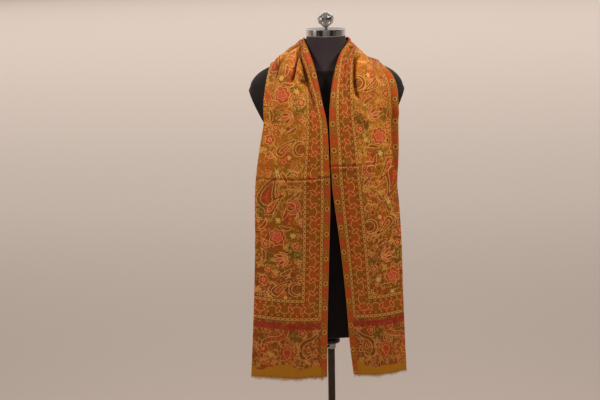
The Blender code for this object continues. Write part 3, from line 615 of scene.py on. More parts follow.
def shell(name, grid, across, along, crease_shade_share, material):
    """Closed thin cloth on a grid of points, carrying its flat cloth places."""
    count, wide = grid.shape[:2]
    index = np.arange(count * wide).reshape(count, wide)
    faces = np.stack([index[:-1, :-1], index[1:, :-1], index[1:, 1:], index[:-1, 1:]], axis=-1).reshape(-1, 4)
    item = mesh_piece(name, grid.reshape(-1, 3), faces.tolist(), material)
    place = item.data.attributes.new("cloth_place", "FLOAT_VECTOR", "POINT")
    flat = np.stack([across, along, np.zeros_like(across)], axis=-1)
    place.data.foreach_set("vector", flat.astype(np.float32).ravel())
    fields = {"crease_depth": crease_shade_share.ravel(), **PRINT.fields(across.ravel(), along.ravel())}
    for key, field in fields.items():
        held = item.data.attributes.new(key, "FLOAT", "POINT")
        held.data.foreach_set("value", field.astype(np.float32))
    bake = item.data.uv_layers.new(name="OFBake")
    spot = np.meshgrid(np.linspace(0.01, 0.99, wide), np.linspace(0.01, 0.99, count))
    spot = np.stack(spot, axis=-1).reshape(-1, 2)
    loops = np.zeros(len(item.data.loops), dtype=np.int32)
    item.data.loops.foreach_get("vertex_index", loops)
    bake.data.foreach_set("uv", spot[loops].astype(np.float32).ravel())
    wall = item.modifiers.new("Wall", "SOLIDIFY")
    wall.thickness = CLOTH_WALL
    wall.offset = 0.0
    bpy.context.view_layer.update()
    graph = bpy.context.evaluated_depsgraph_get()
    baked = bpy.data.meshes.new_from_object(item.evaluated_get(graph), preserve_all_data_layers=True, depsgraph=graph)
    item.modifiers.clear()
    item.data = baked
    return item


# Loose threads, in metres.
FRAY_PITCH = 0.0007
FRAY_SIDES = 3
FRAY_JOINTS = 4
FRAY_SHORTEST = 0.003
FRAY_LONGEST = 0.0125
FRAY_HALF = 0.00036
FRAY_ROOT = 0.0008
TUFT_WIDTH = 0.006
# Where the left hem's back layer is torn, from and to across, and how much longer its threads are.
TORN_BIT = (-0.16, -0.107, 0.005)


def frayed_ends(name, hem, before, seed, torn, material):
    """Loose warp threads along a hem, hanging on from the cloth."""
    draw = np.random.default_rng(seed)
    walked = np.concatenate([[0.0], np.cumsum(np.linalg.norm(np.diff(hem, axis=0), axis=1))])
    count = int(walked[-1] / FRAY_PITCH)
    at = (np.arange(count) + 0.5 + draw.uniform(-0.4, 0.4, count)) * FRAY_PITCH
    root, inner = (np.stack([np.interp(at, walked, line[:, k]) for k in range(3)], axis=1) for line in (hem, before))
    fall = unit(root - inner)
    knots = draw.uniform(0.0, 1.0, int(walked[-1] / TUFT_WIDTH) + 2)
    tuft = np.interp(at, np.linspace(0.0, walked[-1], len(knots)), knots)
    length = FRAY_SHORTEST + (FRAY_LONGEST - FRAY_SHORTEST) * tuft * draw.uniform(0.4, 1.0, count)
    length = np.where(draw.uniform(0.0, 1.0, count) < 0.05, length + 0.002, length)
    if torn:
        inside = (at > walked[-1] * 0.66) & (root[:, 0] > TORN_BIT[0]) & (root[:, 0] < TORN_BIT[1])
        length = np.where(inside, length + TORN_BIT[2] * draw.uniform(0.6, 1.0, count), length)
    length = np.minimum(length, FRAY_LONGEST)
    lean = draw.normal(0.0, 0.22, (count, 3))
    lean[:, 0] += (tuft - 0.5) * 0.5
    curl = draw.normal(0.0, 0.18, (count, 3))
    rings = []
    for j in range(FRAY_JOINTS):
        share = j / (FRAY_JOINTS - 1)
        middle = root + fall * (length * share - FRAY_ROOT)[:, None]
        middle = middle + (lean * share + curl * share**2) * length[:, None] * 0.6
        half = FRAY_HALF * (1.0 - 0.45 * share)
        for k in range(FRAY_SIDES):
            turn = 2.0 * math.pi * k / FRAY_SIDES
            rings.append(middle + np.array([math.cos(turn), math.sin(turn), 0.0]) * half)
    faces = []
    for first in range(0, count * len(rings), len(rings)):
        tip = first + FRAY_SIDES * (FRAY_JOINTS - 1)
        for low in range(first, tip, FRAY_SIDES):
            for k in range(FRAY_SIDES):
                after = (k + 1) % FRAY_SIDES
                faces.append((low + k, low + FRAY_SIDES + k, low + FRAY_SIDES + after, low + after))
        faces.extend([(first, first + 1, first + 2), (tip + 2, tip + 1, tip)])
    return mesh_piece(name, np.stack(rings, axis=1).reshape(-1, 3), faces, material)


# The print. Motifs are drawn on the flat cloth in centimetres. Left and up are as on the left fall:
# the selvedge that lies at centre front is on the right, and the hem is at the foot.

REPEAT = 35.5
FIELD_SHIFTS = ((0.0, 0.0), (11.9, 17.6))
END_SHIFTS = (0.0, 16.6)
FAR = 9.0
HIDDEN = 0.4


def drop(a, b, length, half, curl=0.0, sharp=0.75):
    """Drop with a round foot at the origin and a tip curled to one side."""
    rise = np.clip(b / length, 0.0, 1.0)
    body = np.abs(a - curl * rise**2) - half * (1.0 - rise) ** sharp
    body = np.where(b > length, np.hypot(a - curl, b - length), body)
    return np.where(b < 0.0, np.hypot(a, b) - half, body)


def petal(a, b, angle, start, length, half):
    p = a * math.cos(angle) + b * math.sin(angle) - start
    q = -a * math.sin(angle) + b * math.cos(angle)
    t = np.clip(p / length, 0.0, 1.0)
    body = np.abs(q) - half * np.sin(math.pi * t**0.8) ** 0.8
    return np.maximum(body, np.maximum(-p, p - length))


def arc(a, b, radius, thick, middle, span):
    """Crescent: a ring part that thins toward both ends."""
    angle = (np.arctan2(b, a) - middle + math.pi) % (2.0 * math.pi) - math.pi
    share = np.clip(np.abs(angle) / span, 0.0, 1.0)
    body = np.abs(np.hypot(a, b) - radius) - thick * np.sqrt(1.0 - share**2)
    return np.where(np.abs(angle) < span, body, np.maximum(body, 0.25))


def lobed(a, b, radius, plain, swing, lobes, turn=0.0):
    """Flower head whose edge swings out at each lobe."""
    return np.hypot(a, b) - radius * (plain + swing * np.abs(np.cos(lobes * np.arctan2(b, a) + turn)))


def stroke(a, b, points, thick):
    """Curved stroke through points, thinner at both ends."""
    bends = through(points, np.linspace(0.0, len(points) - 1.0, 6 * (len(points) - 1) + 1))
    best = np.full(len(a), FAR)
    count = len(bends) - 1
    for i in range(count):
        p = bends[i]
        d = bends[i + 1] - p
        t = np.clip(((a - p[0]) * d[0] + (b - p[1]) * d[1]) / max(d @ d, 1e-9), 0.0, 1.0)
        gap = np.hypot(a - p[0] - t * d[0], b - p[1] - t * d[1])
        share = (i + t) / count
        best = np.minimum(best, gap - thick * np.sqrt(np.clip(4.0 * share * (1.0 - share) + 0.12, 0.0, 1.0)))
    return best


class Print:
    """Signed distances, in centimetres, to the print's drawn shapes: below zero inside a shape.

    The channels body and inner hold the edges that the material outlines in cream.
    """

    CHANNELS = ("cream", "red", "pink", "rust", "olive", "orange", "body", "inner")

    def fields(self, across, along):
        x = np.minimum(across, SHAWL_WIDTH - across)
        y = np.minimum(along, SHAWL_LENGTH - along)
        self.out = {name: np.full(len(x), FAR) for name in self.CHANNELS}
        end_part = y < END_PANEL_TOP
        lifts = [k * REPEAT for k in range(-1, int(SHAWL_LENGTH / REPEAT) + 1)]
        for shift, lift in FIELD_SHIFTS:
            self.lay(FIELD_MOTIFS, ~end_part, x - shift, along - lift, lifts)
        for shift in END_SHIFTS:
            self.lay(END_MOTIFS, end_part, x - shift, y, [0.0])
        # How far in from the selvedge and how far along it. Both turn the corner above the end panel.
        end = STRIPE_OUTER + (y - END_PANEL_TOP) * (STRIPE_INNER - STRIPE_OUTER) / (END_STRIPE_INNER - END_PANEL_TOP)
        self.out["frame_out"] = np.minimum(x, end)
        self.out["frame_run"] = np.where(x < end, along, x)
        return {"print_" + name: value for name, value in self.out.items()}

    def lay(self, motifs, mask, x, y, lifts):
        """Draws every motif of a table, once at each lift."""
        for kind, *spots in motifs:
            for x0, y0, turn, big in spots:
                for lift in lifts:
                    self.place(kind, mask, x - x0, y - y0 - lift, math.radians(turn), big)

    def place(self, kind, mask, x, y, angle, big):
        reach = MOTIF_REACH.get(kind, PATCH_REACH) * big
        self.near = np.nonzero((np.abs(x) < reach) & (np.abs(y) < reach) & mask)[0]
        if len(self.near) == 0:
            return
        self.big = big
        x, y = x[self.near], y[self.near]
        right = (y * math.sin(angle) - x * math.cos(angle)) / big
        up = (x * math.sin(angle) + y * math.cos(angle)) / big
        if kind in self.CHANNELS:
            self.mark(np.hypot(right, up * 0.72) - 1.5, kind)
        else:
            getattr(self, kind)(right, up)

    def mark(self, distance, *names):
        for name in names:
            self.out[name][self.near] = np.minimum(self.out[name][self.near], distance * self.big)

    def hide(self, distance, *names):
        """A shape laid over others hides them inside itself."""
        inside = self.near[distance < 0.0]
        for name in names:
            self.out[name][inside] = np.maximum(self.out[name][inside], HIDDEN)

    def beads(self, a, b, places, radius=0.14):
        for p, q in places:
            self.mark(np.hypot(a - p, b - q) - radius, "cream")

    # Motifs, each drawn about its own middle in centimetres.

    def leaf(self, a, b):
        body = drop(a, b + 1.9, 4.9, 1.15, curl=0.9, sharp=0.62)
        self.mark(body, "rust")
        self.mark(drop(a, b + 1.6, 3.4, 0.55, curl=0.6), "red", "inner")
        self.beads(a, b, ((-0.1, -1.7), (0.1, -0.8), (0.3, 0.1)), 0.15)
        self.mark(body + 0.09 * np.cos(b * 6.6), "body")

    def boteh(self, a, b):
        body = drop(a, b + 1.6, 6.2, 2.5, curl=2.6, sharp=0.6)
        self.mark(body, "rust")
        middle = drop(a, b + 1.5, 4.6, 1.6, curl=1.9, sharp=0.6)
        self.mark(middle, "orange")
        self.mark(middle + 0.07 * np.cos(b * 7.0), "inner")
        self.mark(drop(a, b + 1.4, 2.6, 0.7, curl=0.9), "red")
        self.beads(a, b, ((0.0, -1.8), (0.1, -1.0), (0.3, -0.2), (0.7, 0.8), (1.1, 1.7)), 0.15)
        self.mark(body + 0.09 * np.cos(b * 6.0), "body")
        self.mark(stroke(a, b, ((2.0, 4.2), (3.0, 4.9), (3.4, 4.2), (2.8, 3.7)), 0.14), "cream")
        self.mark(petal(a - 2.9, b - 2.4, 0.8, 0.0, 1.1, 0.3), "red")

    def peony(self, a, b):
        edge = lobed(a, b, 2.1, 0.8, 0.24, 3.5)
        self.hide(edge, "rust", "olive", "orange")
        self.mark(edge, "red", "body")
        petals = lobed(a, b, 1.25, 0.72, 0.36, 2.5, 0.6)
        self.mark(petals, "inner")
        self.mark(arc(a, b, 1.62, 0.26, 2.4, 1.6), "pink")
        self.mark(petals + 0.25, "pink")
        self.mark(np.hypot(a, b) - 0.42, "rust")
        self.beads(a, b, ((0.0, 0.0), (0.62, 0.3), (-0.5, 0.45), (0.15, -0.66)))

    def star(self, a, b):
        r = np.hypot(a, b)
        self.mark(r - 0.92 * (0.66 + 0.34 * np.cos(6.0 * np.arctan2(b, a))), "cream")
        self.mark(r - 1.3, "olive")
        self.mark(r - 0.26, "red")

    def blossom(self, a, b):
        self.mark(lobed(a, b, 1.35, 0.62, 0.42, 2.5), "red", "body")
        self.mark(np.hypot(a, b) - 0.52, "pink")
        self.mark(np.hypot(a, b) - 0.46, "inner")

    def crescent(self, a, b):
        self.mark(arc(a, b, 1.35, 0.5, 0.0, 2.5), "pink", "body")
        self.mark(petal(a, b, 0.4, 0.0, 0.9, 0.25), "red")
        self.beads(a, b, [(1.35 * math.cos(t), 1.35 * math.sin(t)) for t in np.linspace(-1.9, 1.9, 8)])

    def scroll(self, a, b):
        self.mark(np.hypot(a, b) - 1.3, "rust")
        self.mark(arc(a, b, 1.55, 0.34, math.pi, 2.3), "orange", "body")
        for p, q in ((1.0, 2.0), (0.7, 3.3)):
            self.mark(np.hypot((a - p) * 0.9, b - q) - 0.45, "red", "inner")
        self.beads(a, b, ((0.0, 0.0), (0.5, 0.5), (-0.2, -0.6)))

    def spray(self, a, b):
        for k, (angle, length) in enumerate(((2.45, 2.4), (2.85, 3.5), (3.2, 4.2), (3.6, 3.6), (4.00, 2.6))):
            names = ("red", "body") if k % 2 else ("pink", "inner")
            self.mark(petal(a, b, angle, 0.3, length, 0.42), *names)

    def tendril(self, a, b):
        curve = ((-2.6, -0.8), (-1.4, 0.4), (0.0, 0.0), (1.2, -0.5), (2.3, 0.3), (1.9, 1.1), (1.2, 0.7))
        self.mark(stroke(a, b, curve, 0.13), "cream")
        for angle in (0.9, 2.6, -1.2):
            self.mark(petal(a, b, angle, 0.25, 1.3, 0.34), "red", "inner")

    def sprig(self, a, b):
        for angle, name in ((1.2, "pink"), (2.6, "red"), (0.1, "olive"), (-1.4, "red")):
            self.mark(petal(a, b, angle, 0.1, 1.05, 0.27), name, "inner")

    def plume(self, a, b):
        """Curved leaf, split along its vein."""
        vein = b - 0.16 * (a - 1.6) ** 2 + 0.4
        body = petal(a, vein, 0.0, -1.8, 3.8, 0.62)
        self.mark(body, "olive", "body")
        self.mark(np.maximum(body, vein), "red")

    def lotus(self, a, b):
        edge = np.hypot(a, b) - 1.95 * (0.92 + 0.14 * np.cos(8.0 * np.arctan2(b, a)))
        self.hide(edge, "olive", "orange")
        self.mark(edge, "orange", "body")
        self.mark(np.abs(edge + 0.42) - 0.16, "red")
        self.mark(drop(a, 0.2 - b, 1.7, 0.85, sharp=0.9), "red", "inner")
        for k in range(9):
            self.mark(petal(a, b, -1.5708 + (k - 4) * 0.62, 2.15, 0.95, 0.25), "pink", "inner")
        self.mark(drop(a, b - 2.5, 1.4, 0.5, sharp=0.8), "orange", "inner")
        self.beads(a, b, ((-0.9, 1.2), (0.0, 1.5), (0.9, 1.2), (0.0, -0.4)))

    def comma(self, a, b):
        spine = ((-3.6, -2.4), (-3.3, -0.6), (-2.0, 0.2), (0.0, 0.5), (1.7, 1.4), (2.4, 2.8), (1.5, 3.6),
                 (0.8, 2.7), (1.5, 2.3))
        self.mark(stroke(a, b, spine, 0.6), "orange", "body")
        self.mark(stroke(a, b, spine[:6], 0.24), "red")
        self.beads(a, b, ((-2.6, 0.0), (-1.4, 0.36), (-0.2, 0.46), (0.9, 0.9), (1.9, 1.8)), 0.15)
        a, b = a + 3.3, b + 2.3
        self.mark(lobed(a, b, 1.35, 0.72, 0.32, 3.0), "red", "inner")
        self.mark(np.hypot(a, b) - 0.3, "cream")

    def crook(self, a, b):
        curve = ((2.0, 3.4), (0.6, 2.2), (-1.2, 1.4), (-2.2, -0.2), (-1.9, -2.3), (-0.6, -2.9), (0.4, -2.0))
        self.mark(stroke(a, b, curve, 0.5), "rust", "body")
        for p, q in ((1.0, 0.6), (-0.2, -0.9), (1.5, -1.6)):
            self.mark(drop(a - p, b - q, 1.2, 0.45), "red", "inner")


# How far each motif reaches from its middle, in centimetres. A plain patch of colour has the last.
MOTIF_REACH = {
    "leaf": 4.8, "boteh": 8.0, "peony": 3.6, "star": 2.4, "blossom": 2.6, "crescent": 3.2, "scroll": 5.4,
    "spray": 6.0, "tendril": 4.6, "sprig": 1.9, "plume": 3.6, "lotus": 5.6, "comma": 7.6, "crook": 5.4,
}
PATCH_REACH = 4.0

# Field motifs of one repeat: a motif, or the colour of a plain patch, and then the places it stands at.
# Columns: place across, place along, turn in degrees, size.
FIELD_MOTIFS = (
    ("orange", (12, 21, 0, 1), (10.6, 41.5, 0, 0.9), (17.6, 37.5, 0, 1)),
    ("olive", (9, 33.4, 30, 1.1), (15.6, 31, 0, 1), (17.4, 43, 0, 0.9)),
    ("rust", (11.6, 41.2, 0, 0.7)),
    ("boteh", (16.3, 47.6, 0, 1)),
    ("leaf", (12.2, 24, -42, 1), (14.4, 45.2, -30, 1.1)),
    ("scroll", (8.3, 23.4, 0, 1)),
    ("spray", (10.4, 31.6, 12, 1)),
    ("peony", (13.4, 36.6, 0, 1)),
    ("star", (9.4, 37.2, 10, 1), (13.2, 40.9, 0, 1), (13.8, 53.2, 20, 0.9), (11, 21.2, 0, 0.8)),
    ("crescent", (9.7, 44.6, 0, 1.15)),
    ("blossom", (16.8, 25.3, 0, 1), (16.4, 34.6, 40, 0.8), (8.3, 34.4, 15, 0.8), (15.6, 28.4, 60, 0.7),
        (12.2, 47.8, 10, 0.65), (15.8, 43, 35, 0.7)),
    ("tendril", (9.3, 53.4, 15, 1), (15.3, 21.6, 160, 0.9), (10, 48.9, 200, 0.9)),
    ("sprig", (7.8, 30.2, 20, 1), (17.9, 29, 80, 1), (11, 34.2, 140, 0.9), (7.6, 40.6, 10, 1),
        (12.4, 50.4, 60, 0.9), (18.3, 41, 200, 1), (13.6, 27.6, 100, 0.8), (8, 49.4, 250, 0.9),
        (18.2, 22.6, 300, 0.8)),
    ("plume", (10.8, 27.6, 60, 0.85), (16.8, 31.6, 120, 0.9), (11.3, 38.9, 20, 0.8), (11.2, 42.6, 100, 0.8),
        (8.4, 47.4, 70, 0.75), (11.6, 51.8, 150, 0.8), (16.9, 39.4, 80, 0.8)),
)

# End panel motifs. Place along is from the hem.
END_MOTIFS = (
    ("olive", (8.2, 10.4, 0, 1), (12.6, 5, 90, 0.7), (16.4, 10, 0, 0.7)),
    ("orange", (14.6, 4.6, 0, 1.1)),
    ("comma", (13, 9.6, 0, 1)),
    ("crook", (4.6, 8, 0, 1)),
    ("lotus", (10.2, 6.3, 0, 1.18)),
    ("blossom", (15.9, 12.4, 30, 0.8), (6.4, 11.8, 0, 0.8)),
    ("tendril", (16, 4.6, 40, 0.9), (5.2, 4.2, 170, 0.8)),
    ("sprig", (7.6, 8.6, 30, 0.9), (13.4, 3.7, 120, 0.9), (3, 3.6, 60, 0.9), (2.9, 12.2, 100, 0.9),
        (18.2, 7.6, 10, 1)),
)
PRINT = Print()


# Shader maths written as Python expressions.

class Value:
    """One number socket of a material, used in plain expressions."""

    def __init__(self, recipe, socket):
        self.recipe = recipe
        self.socket = socket

    def join(self, operation, *others):
        return self.recipe.maths(operation, self, *others)

    def __add__(self, other):
        return self.join("ADD", other)

    __radd__ = __add__

    def __mul__(self, other):
        return self.join("MULTIPLY", other)

    __rmul__ = __mul__

    def __sub__(self, other):
        return self.join("SUBTRACT", other)

    def __rsub__(self, other):
        return self.recipe.maths("SUBTRACT", other, self)

    def __abs__(self):
        return self.join("ABSOLUTE")

    def sine(self):
        return self.join("SINE")

    def cosine(self):
        return self.join("COSINE")

    def smaller(self, other):
        return self.join("MINIMUM", other)

    def larger(self, other):
        return self.join("MAXIMUM", other)

    def power(self, other):
        return self.join("POWER", other)

    def every(self, pitch):
        """Distance from the middle of each repeat of this length."""
        return self.recipe.maths("WRAP", self, pitch * 0.5, -pitch * 0.5)

    def rise(self, low, high):
        """Smooth step from 0 at low to 1 at high."""
        return self.recipe.make("ShaderNodeMapRange", {"interpolation_type": "SMOOTHSTEP"},
                                {"Value": self, "From Min": low, "From Max": high})

    def within(self, edge, soft):
        """1 below the edge, 0 above it."""
        return 1.0 - self.rise(edge - soft, edge + soft)

    def line(self, half, soft):
        """1 on a line of this half width where the value is 0."""
        return abs(self).within(half, soft)

    def beside(self, other):
        """Distance from the place where both values are 0."""
        return (self * self + other * other).power(0.5)


class Recipe:
    """A material made of nodes."""

    def __init__(self, name):
        self.material = bpy.data.materials.new(name)
        self.material.use_nodes = True
        self.tree = self.material.node_tree
        self.shader = self.tree.nodes["Principled BSDF"]
        self.output = self.tree.nodes["Material Output"]

    def feed(self, socket, value):
        if isinstance(value, Value):
            self.tree.links.new(value.socket, socket)
        elif isinstance(value, bpy.types.NodeSocket):
            self.tree.links.new(value, socket)
        elif socket.type == "RGBA" and len(value) == 3:
            socket.default_value = (*value, 1.0)
        else:
            socket.default_value = value

    def make(self, kind, settings=None, inputs=None, out=0):
        node = self.tree.nodes.new(kind)
        for key, value in (settings or {}).items():
            if key == "stops":
                while len(node.color_ramp.elements) < len(value):
                    node.color_ramp.elements.new(0.5)
                for element, (spot, colour) in zip(node.color_ramp.elements, value):
                    element.position = spot
                    element.color = (*colour, 1.0)
            else:
                setattr(node, key, value)
        for key, value in (inputs or {}).items():
            self.feed(node.inputs[key], value)
        if out is None:
            return node.outputs
        found = node.outputs[out]
        return Value(self, found) if found.type == "VALUE" else found

    def maths(self, operation, *values):
        return self.make("ShaderNodeMath", {"operation": operation}, dict(enumerate(values)))

    def vector(self, operation, *values, out=0):
        return self.make("ShaderNodeVectorMath", {"operation": operation}, dict(enumerate(values)), out)

    def number(self, name):
        return self.make("ShaderNodeAttribute", {"attribute_name": name}, out="Fac")

    def place(self, name):
        return self.make("ShaderNodeAttribute", {"attribute_name": name}, out="Vector")

    def spot(self, kind="Object"):
        return self.make("ShaderNodeTexCoord", out=kind)

    def parts(self, vector):
        return [Value(self, socket) for socket in self.make("ShaderNodeSeparateXYZ", {}, {0: vector}, None)]

    def joined(self, x, y, z=0.0):
        return self.make("ShaderNodeCombineXYZ", {}, {0: x, 1: y, 2: z})

    def mix(self, share, first, second):
        settings = {"data_type": "RGBA", "blend_type": "MIX", "clamp_factor": True}
        return self.make("ShaderNodeMix", settings, {0: share, 6: first, 7: second}, 2)

    def layered(self, colour, *coats):
        """A colour with others laid over it in turn. Each coat is its share and its colour."""
        for share, shade in coats:
            colour = self.mix(share, colour, shade)
        return colour

    def noise(self, vector, scale, detail=3.0, rough=0.5):
        inputs = {"Vector": vector, "Scale": scale, "Detail": detail, "Roughness": rough}
        return self.make("ShaderNodeTexNoise", {"noise_dimensions": "3D"}, inputs, "Fac")

    def cells(self, vector, scale):
        return self.make("ShaderNodeTexVoronoi", {"feature": "F1"}, {"Vector": vector, "Scale": scale}, "Distance")

    def scattered(self, vector, pitch, spread):
        """Uneven cells about one pitch across: place from the cell's middle, and three numbers of its own."""
        found = self.make("ShaderNodeTexVoronoi", {"voronoi_dimensions": "2D"},
                          {"Vector": vector, "Scale": 1.0 / pitch, "Randomness": spread}, None)
        offset = self.parts(self.vector("SUBTRACT", vector, found["Position"]))
        return offset[0], offset[1], self.parts(found["Color"])

    def bump(self, height, strength, depth):
        return self.make("ShaderNodeBump", {}, {"Strength": strength, "Distance": depth, "Height": height}, "Normal")

    def finish(self, **sockets):
        names = {"base": "Base Color", "roughness": "Roughness", "metallic": "Metallic", "normal": "Normal",
                 "sheen": "Sheen Weight", "sheen_rough": "Sheen Roughness", "sheen_tint": "Sheen Tint",
                 "coat": "Coat Weight", "coat_rough": "Coat Roughness", "specular": "Specular IOR Level"}
        for key, value in sockets.items():
            self.feed(self.shader.inputs[names[key]], value)
        return self.material


def shown(red, green, blue):
    """A colour as seen on a screen, turned to the linear values that shaders use."""
    def linear(v):
        v = v / 255.0
        return v / 12.92 if v <= 0.04045 else ((v + 0.055) / 1.055) ** 2.4
    return (linear(red), linear(green), linear(blue))


OCHRE = shown(180, 106, 13)
MUSTARD = shown(190, 126, 22)
ORANGE = shown(186, 80, 20)
RED_ORANGE = shown(198, 64, 28)
RUST = shown(130, 56, 16)
BROWN = shown(74, 38, 12)
CREAM = shown(238, 176, 88)
TAN = shown(190, 130, 54)
PINK = shown(214, 92, 72)
CRIMSON = shown(162, 32, 28)
OLIVE = shown(116, 90, 18)
DARK_OLIVE = shown(50, 42, 14)
# Painted shade laid into the colour at the bottom of creases.
PAINTED_CREASE_SHADE = shown(58, 24, 10)


FULL_TURN = 2.0 * math.pi
# Places and pitches of the woven print, in centimetres.
BORDER_MIDDLE = 4.3
VINE_PITCH = 6.4
BEAD_PITCH = 1.22
EDGE_MIDDLE = 0.92
EDGE_PITCH = 6.4
EDGE_WIDTH = 1.7
RED_BAND = 13.5
HEM_STRIP = 2.5
FLOWER_PITCH = 2.6
DOT_PITCH = 1.05
TWILL_PITCH = 0.11


def shawl_material():
    r = Recipe("shawl_cloth_print")
    x, along = r.parts(r.place("cloth_place"))[:2]
    flat = r.joined(x, along)
    y = along.smaller(SHAWL_LENGTH - along)
    side = x.smaller(SHAWL_WIDTH - x)
    out = r.number("print_frame_out")
    run = r.number("print_frame_run")
    body = r.number("print_body")
    wander = r.noise(flat, 0.9, 3.0, 0.6) - 0.5
    fine = r.noise(flat, 6.0, 2.0, 0.6) - 0.5
    ragged = wander * 0.1 + fine * 0.14

    # Ground: ochre with drifting orange, olive and rust.
    drift = r.noise(flat, 0.2, 2.0)
    drift_two = r.noise(r.vector("ADD", flat, (31.0, 17.0, 5.0)), 0.27, 2.0)
    # Rust toward each hem and mustard higher up: partly the cloth's own colour, partly painted shade, darker low and
    # paler high.
    upper_part = y.rise(28.0, 70.0)
    colour = r.layered(OCHRE, (drift.rise(0.48, 0.6) * 0.85, ORANGE), (drift_two.rise(0.52, 0.62) * 0.5, OLIVE),
                       ((1.0 - drift_two).rise(0.56, 0.66) * 0.6, RUST), ((1.0 - upper_part) * 0.6, RUST),
                       (upper_part * 0.25, MUSTARD))
    for name, shade, strength in (("olive", OLIVE, 0.8), ("orange", ORANGE, 0.9)):
        far = r.number("print_" + name) + wander * 1.2
        colour = r.mix(far.within(0.0, 0.4) * strength, colour, shade)

    # Thin stems that wander over the ground.
    stem = (r.noise(flat, 0.34, 1.0, 0.4) - 0.5).line(0.011, 0.006)
    colour = r.mix(stem * 0.5, colour, CREAM)

    # Small flowers and leaves between the large motifs, each in its own cell.
    p, q, (pick, turn, tint) = r.scattered(flat, FLOWER_PITCH, 0.75)
    far = p.beside(q)
    angle = turn * FULL_TURN
    heading = r.maths("ARCTAN2", q, p) + angle
    lobes = abs((heading * 2.5).sine())
    flower = far - (tint * 0.2 + 0.62) * (lobes * 0.45 + 0.55)
    level = p * angle.cosine() + q * angle.sine()
    upright = q * angle.cosine() - p * angle.sine() + level * level * 0.35
    leaflet = abs(upright) + level * level * 0.36 - 0.32
    flowers = pick.rise(0.44, 0.46)
    small = (flower * flowers + leaflet * (1.0 - flowers)).larger(0.14 - body)
    small = (small + ragged * 0.5).larger((0.32 - turn) * 9.0)
    bloom = r.mix(tint.rise(0.3, 0.34), PINK, r.mix(tint.rise(0.72, 0.76), RED_ORANGE, CRIMSON))
    blade = r.mix(tint.rise(0.4, 0.44), DARK_OLIVE, r.mix(tint.rise(0.75, 0.79), RUST, RED_ORANGE))
    colour = r.layered(colour, (small.within(0.0, 0.05) * 0.8, r.mix(flowers, blade, bloom)),
                       (small.line(0.075, 0.04) * 0.7, CREAM),
                       (far.within(0.16, 0.05) * flowers * 0.9, r.mix(pick.rise(0.72, 0.74), CREAM, DARK_OLIVE)))

    # Dots and rings in what is left.
    p, q, (pick, turn, tint) = r.scattered(r.vector("ADD", flat, (7.3, 3.1, 0.0)), DOT_PITCH, 0.8)
    far = p.beside(q).larger(0.3 - body).larger(0.34 - small)
    ring = (far - 0.24).line(0.07, 0.03) * pick.rise(0.4, 0.42)
    colour = r.layered(colour, (ring * 0.5, CREAM),
                       (far.within(0.12, 0.05) * 0.5, r.mix(tint.rise(0.58, 0.62), CRIMSON, CREAM)))

    # The large motifs: fills, seeds, a cream outline with a fine dark line inside it, and inner contours.
    for name, shade, strength in (("rust", RUST, 0.6), ("red", RED_ORANGE, 0.85), ("pink", PINK, 0.8)):
        colour = r.mix((r.number("print_" + name) + ragged).within(0.0, 0.06) * strength, colour, shade)
    frayed = ragged * 0.4
    seeds = r.cells(flat, 2.2).within(0.22, 0.06) * body.within(-0.35, 0.1)
    colour = r.layered(colour, (seeds * 0.45, r.mix(drift.rise(0.49, 0.51), CREAM, BROWN)),
                       ((body + 0.22 + frayed).line(0.06, 0.05) * 0.6, BROWN),
                       ((body - 0.02 + frayed).line(0.095 + fine * 0.12, 0.04) * 0.76, CREAM),
                       ((r.number("print_inner") + frayed).line(0.085, 0.04) * 0.8, CREAM),
                       ((r.number("print_cream") + frayed).within(0.0, 0.05) * 0.95, CREAM))

    # End panel: warmer ground and a red band at its top.
    band = (y - RED_BAND + wander * 1.2).line(0.8, 0.3)
    colour = r.layered(colour, (y.within(END_PANEL_TOP, 0.05) * 0.22, RUST), (band * 0.75, CRIMSON))

    # Border between the two guard stripes: a waving vine with florets.
    off = out - BORDER_MIDDLE
    wave = (run * (FULL_TURN / VINE_PITCH)).sine()
    vine = off - wave * 0.85
    beside = off + wave * 0.8
    bud = run.every(VINE_PITCH / 2.0)
    floret = bud.beside(beside)
    lobes = floret - 0.52 - abs((r.maths("ARCTAN2", beside, bud) * 2.5).sine()) * 0.2
    flank = abs(abs(off) - 1.35)
    tick = (abs(run.every(VINE_PITCH / 4.0)) + flank * 0.8).within(0.2, 0.06)
    flame = (abs((run + 0.8).every(VINE_PITCH / 4.0)) * 1.3 + flank * 0.7).within(0.34, 0.06)
    border = r.layered(r.mix(0.5, RUST, OCHRE), (drift.rise(0.42, 0.58) * 0.8, ORANGE),
                       (drift_two.rise(0.52, 0.62) * 0.4, OLIVE),
                       ((lobes + ragged).within(0.0, 0.06) * 0.85, RED_ORANGE),
                       ((vine + ragged).line(0.085, 0.05) * 0.75, CREAM),
                       ((lobes + ragged).line(0.08, 0.04) * 0.75, CREAM),
                       (floret.within(0.2, 0.06) * 0.8, DARK_OLIVE), (flame * 0.7, CRIMSON), (tick * 0.7, CREAM))
    in_border = (1.0 - out.within(STRIPE_OUTER + 0.3, 0.05)) * out.within(STRIPE_INNER, 0.05)
    colour = r.mix(in_border, colour, border)

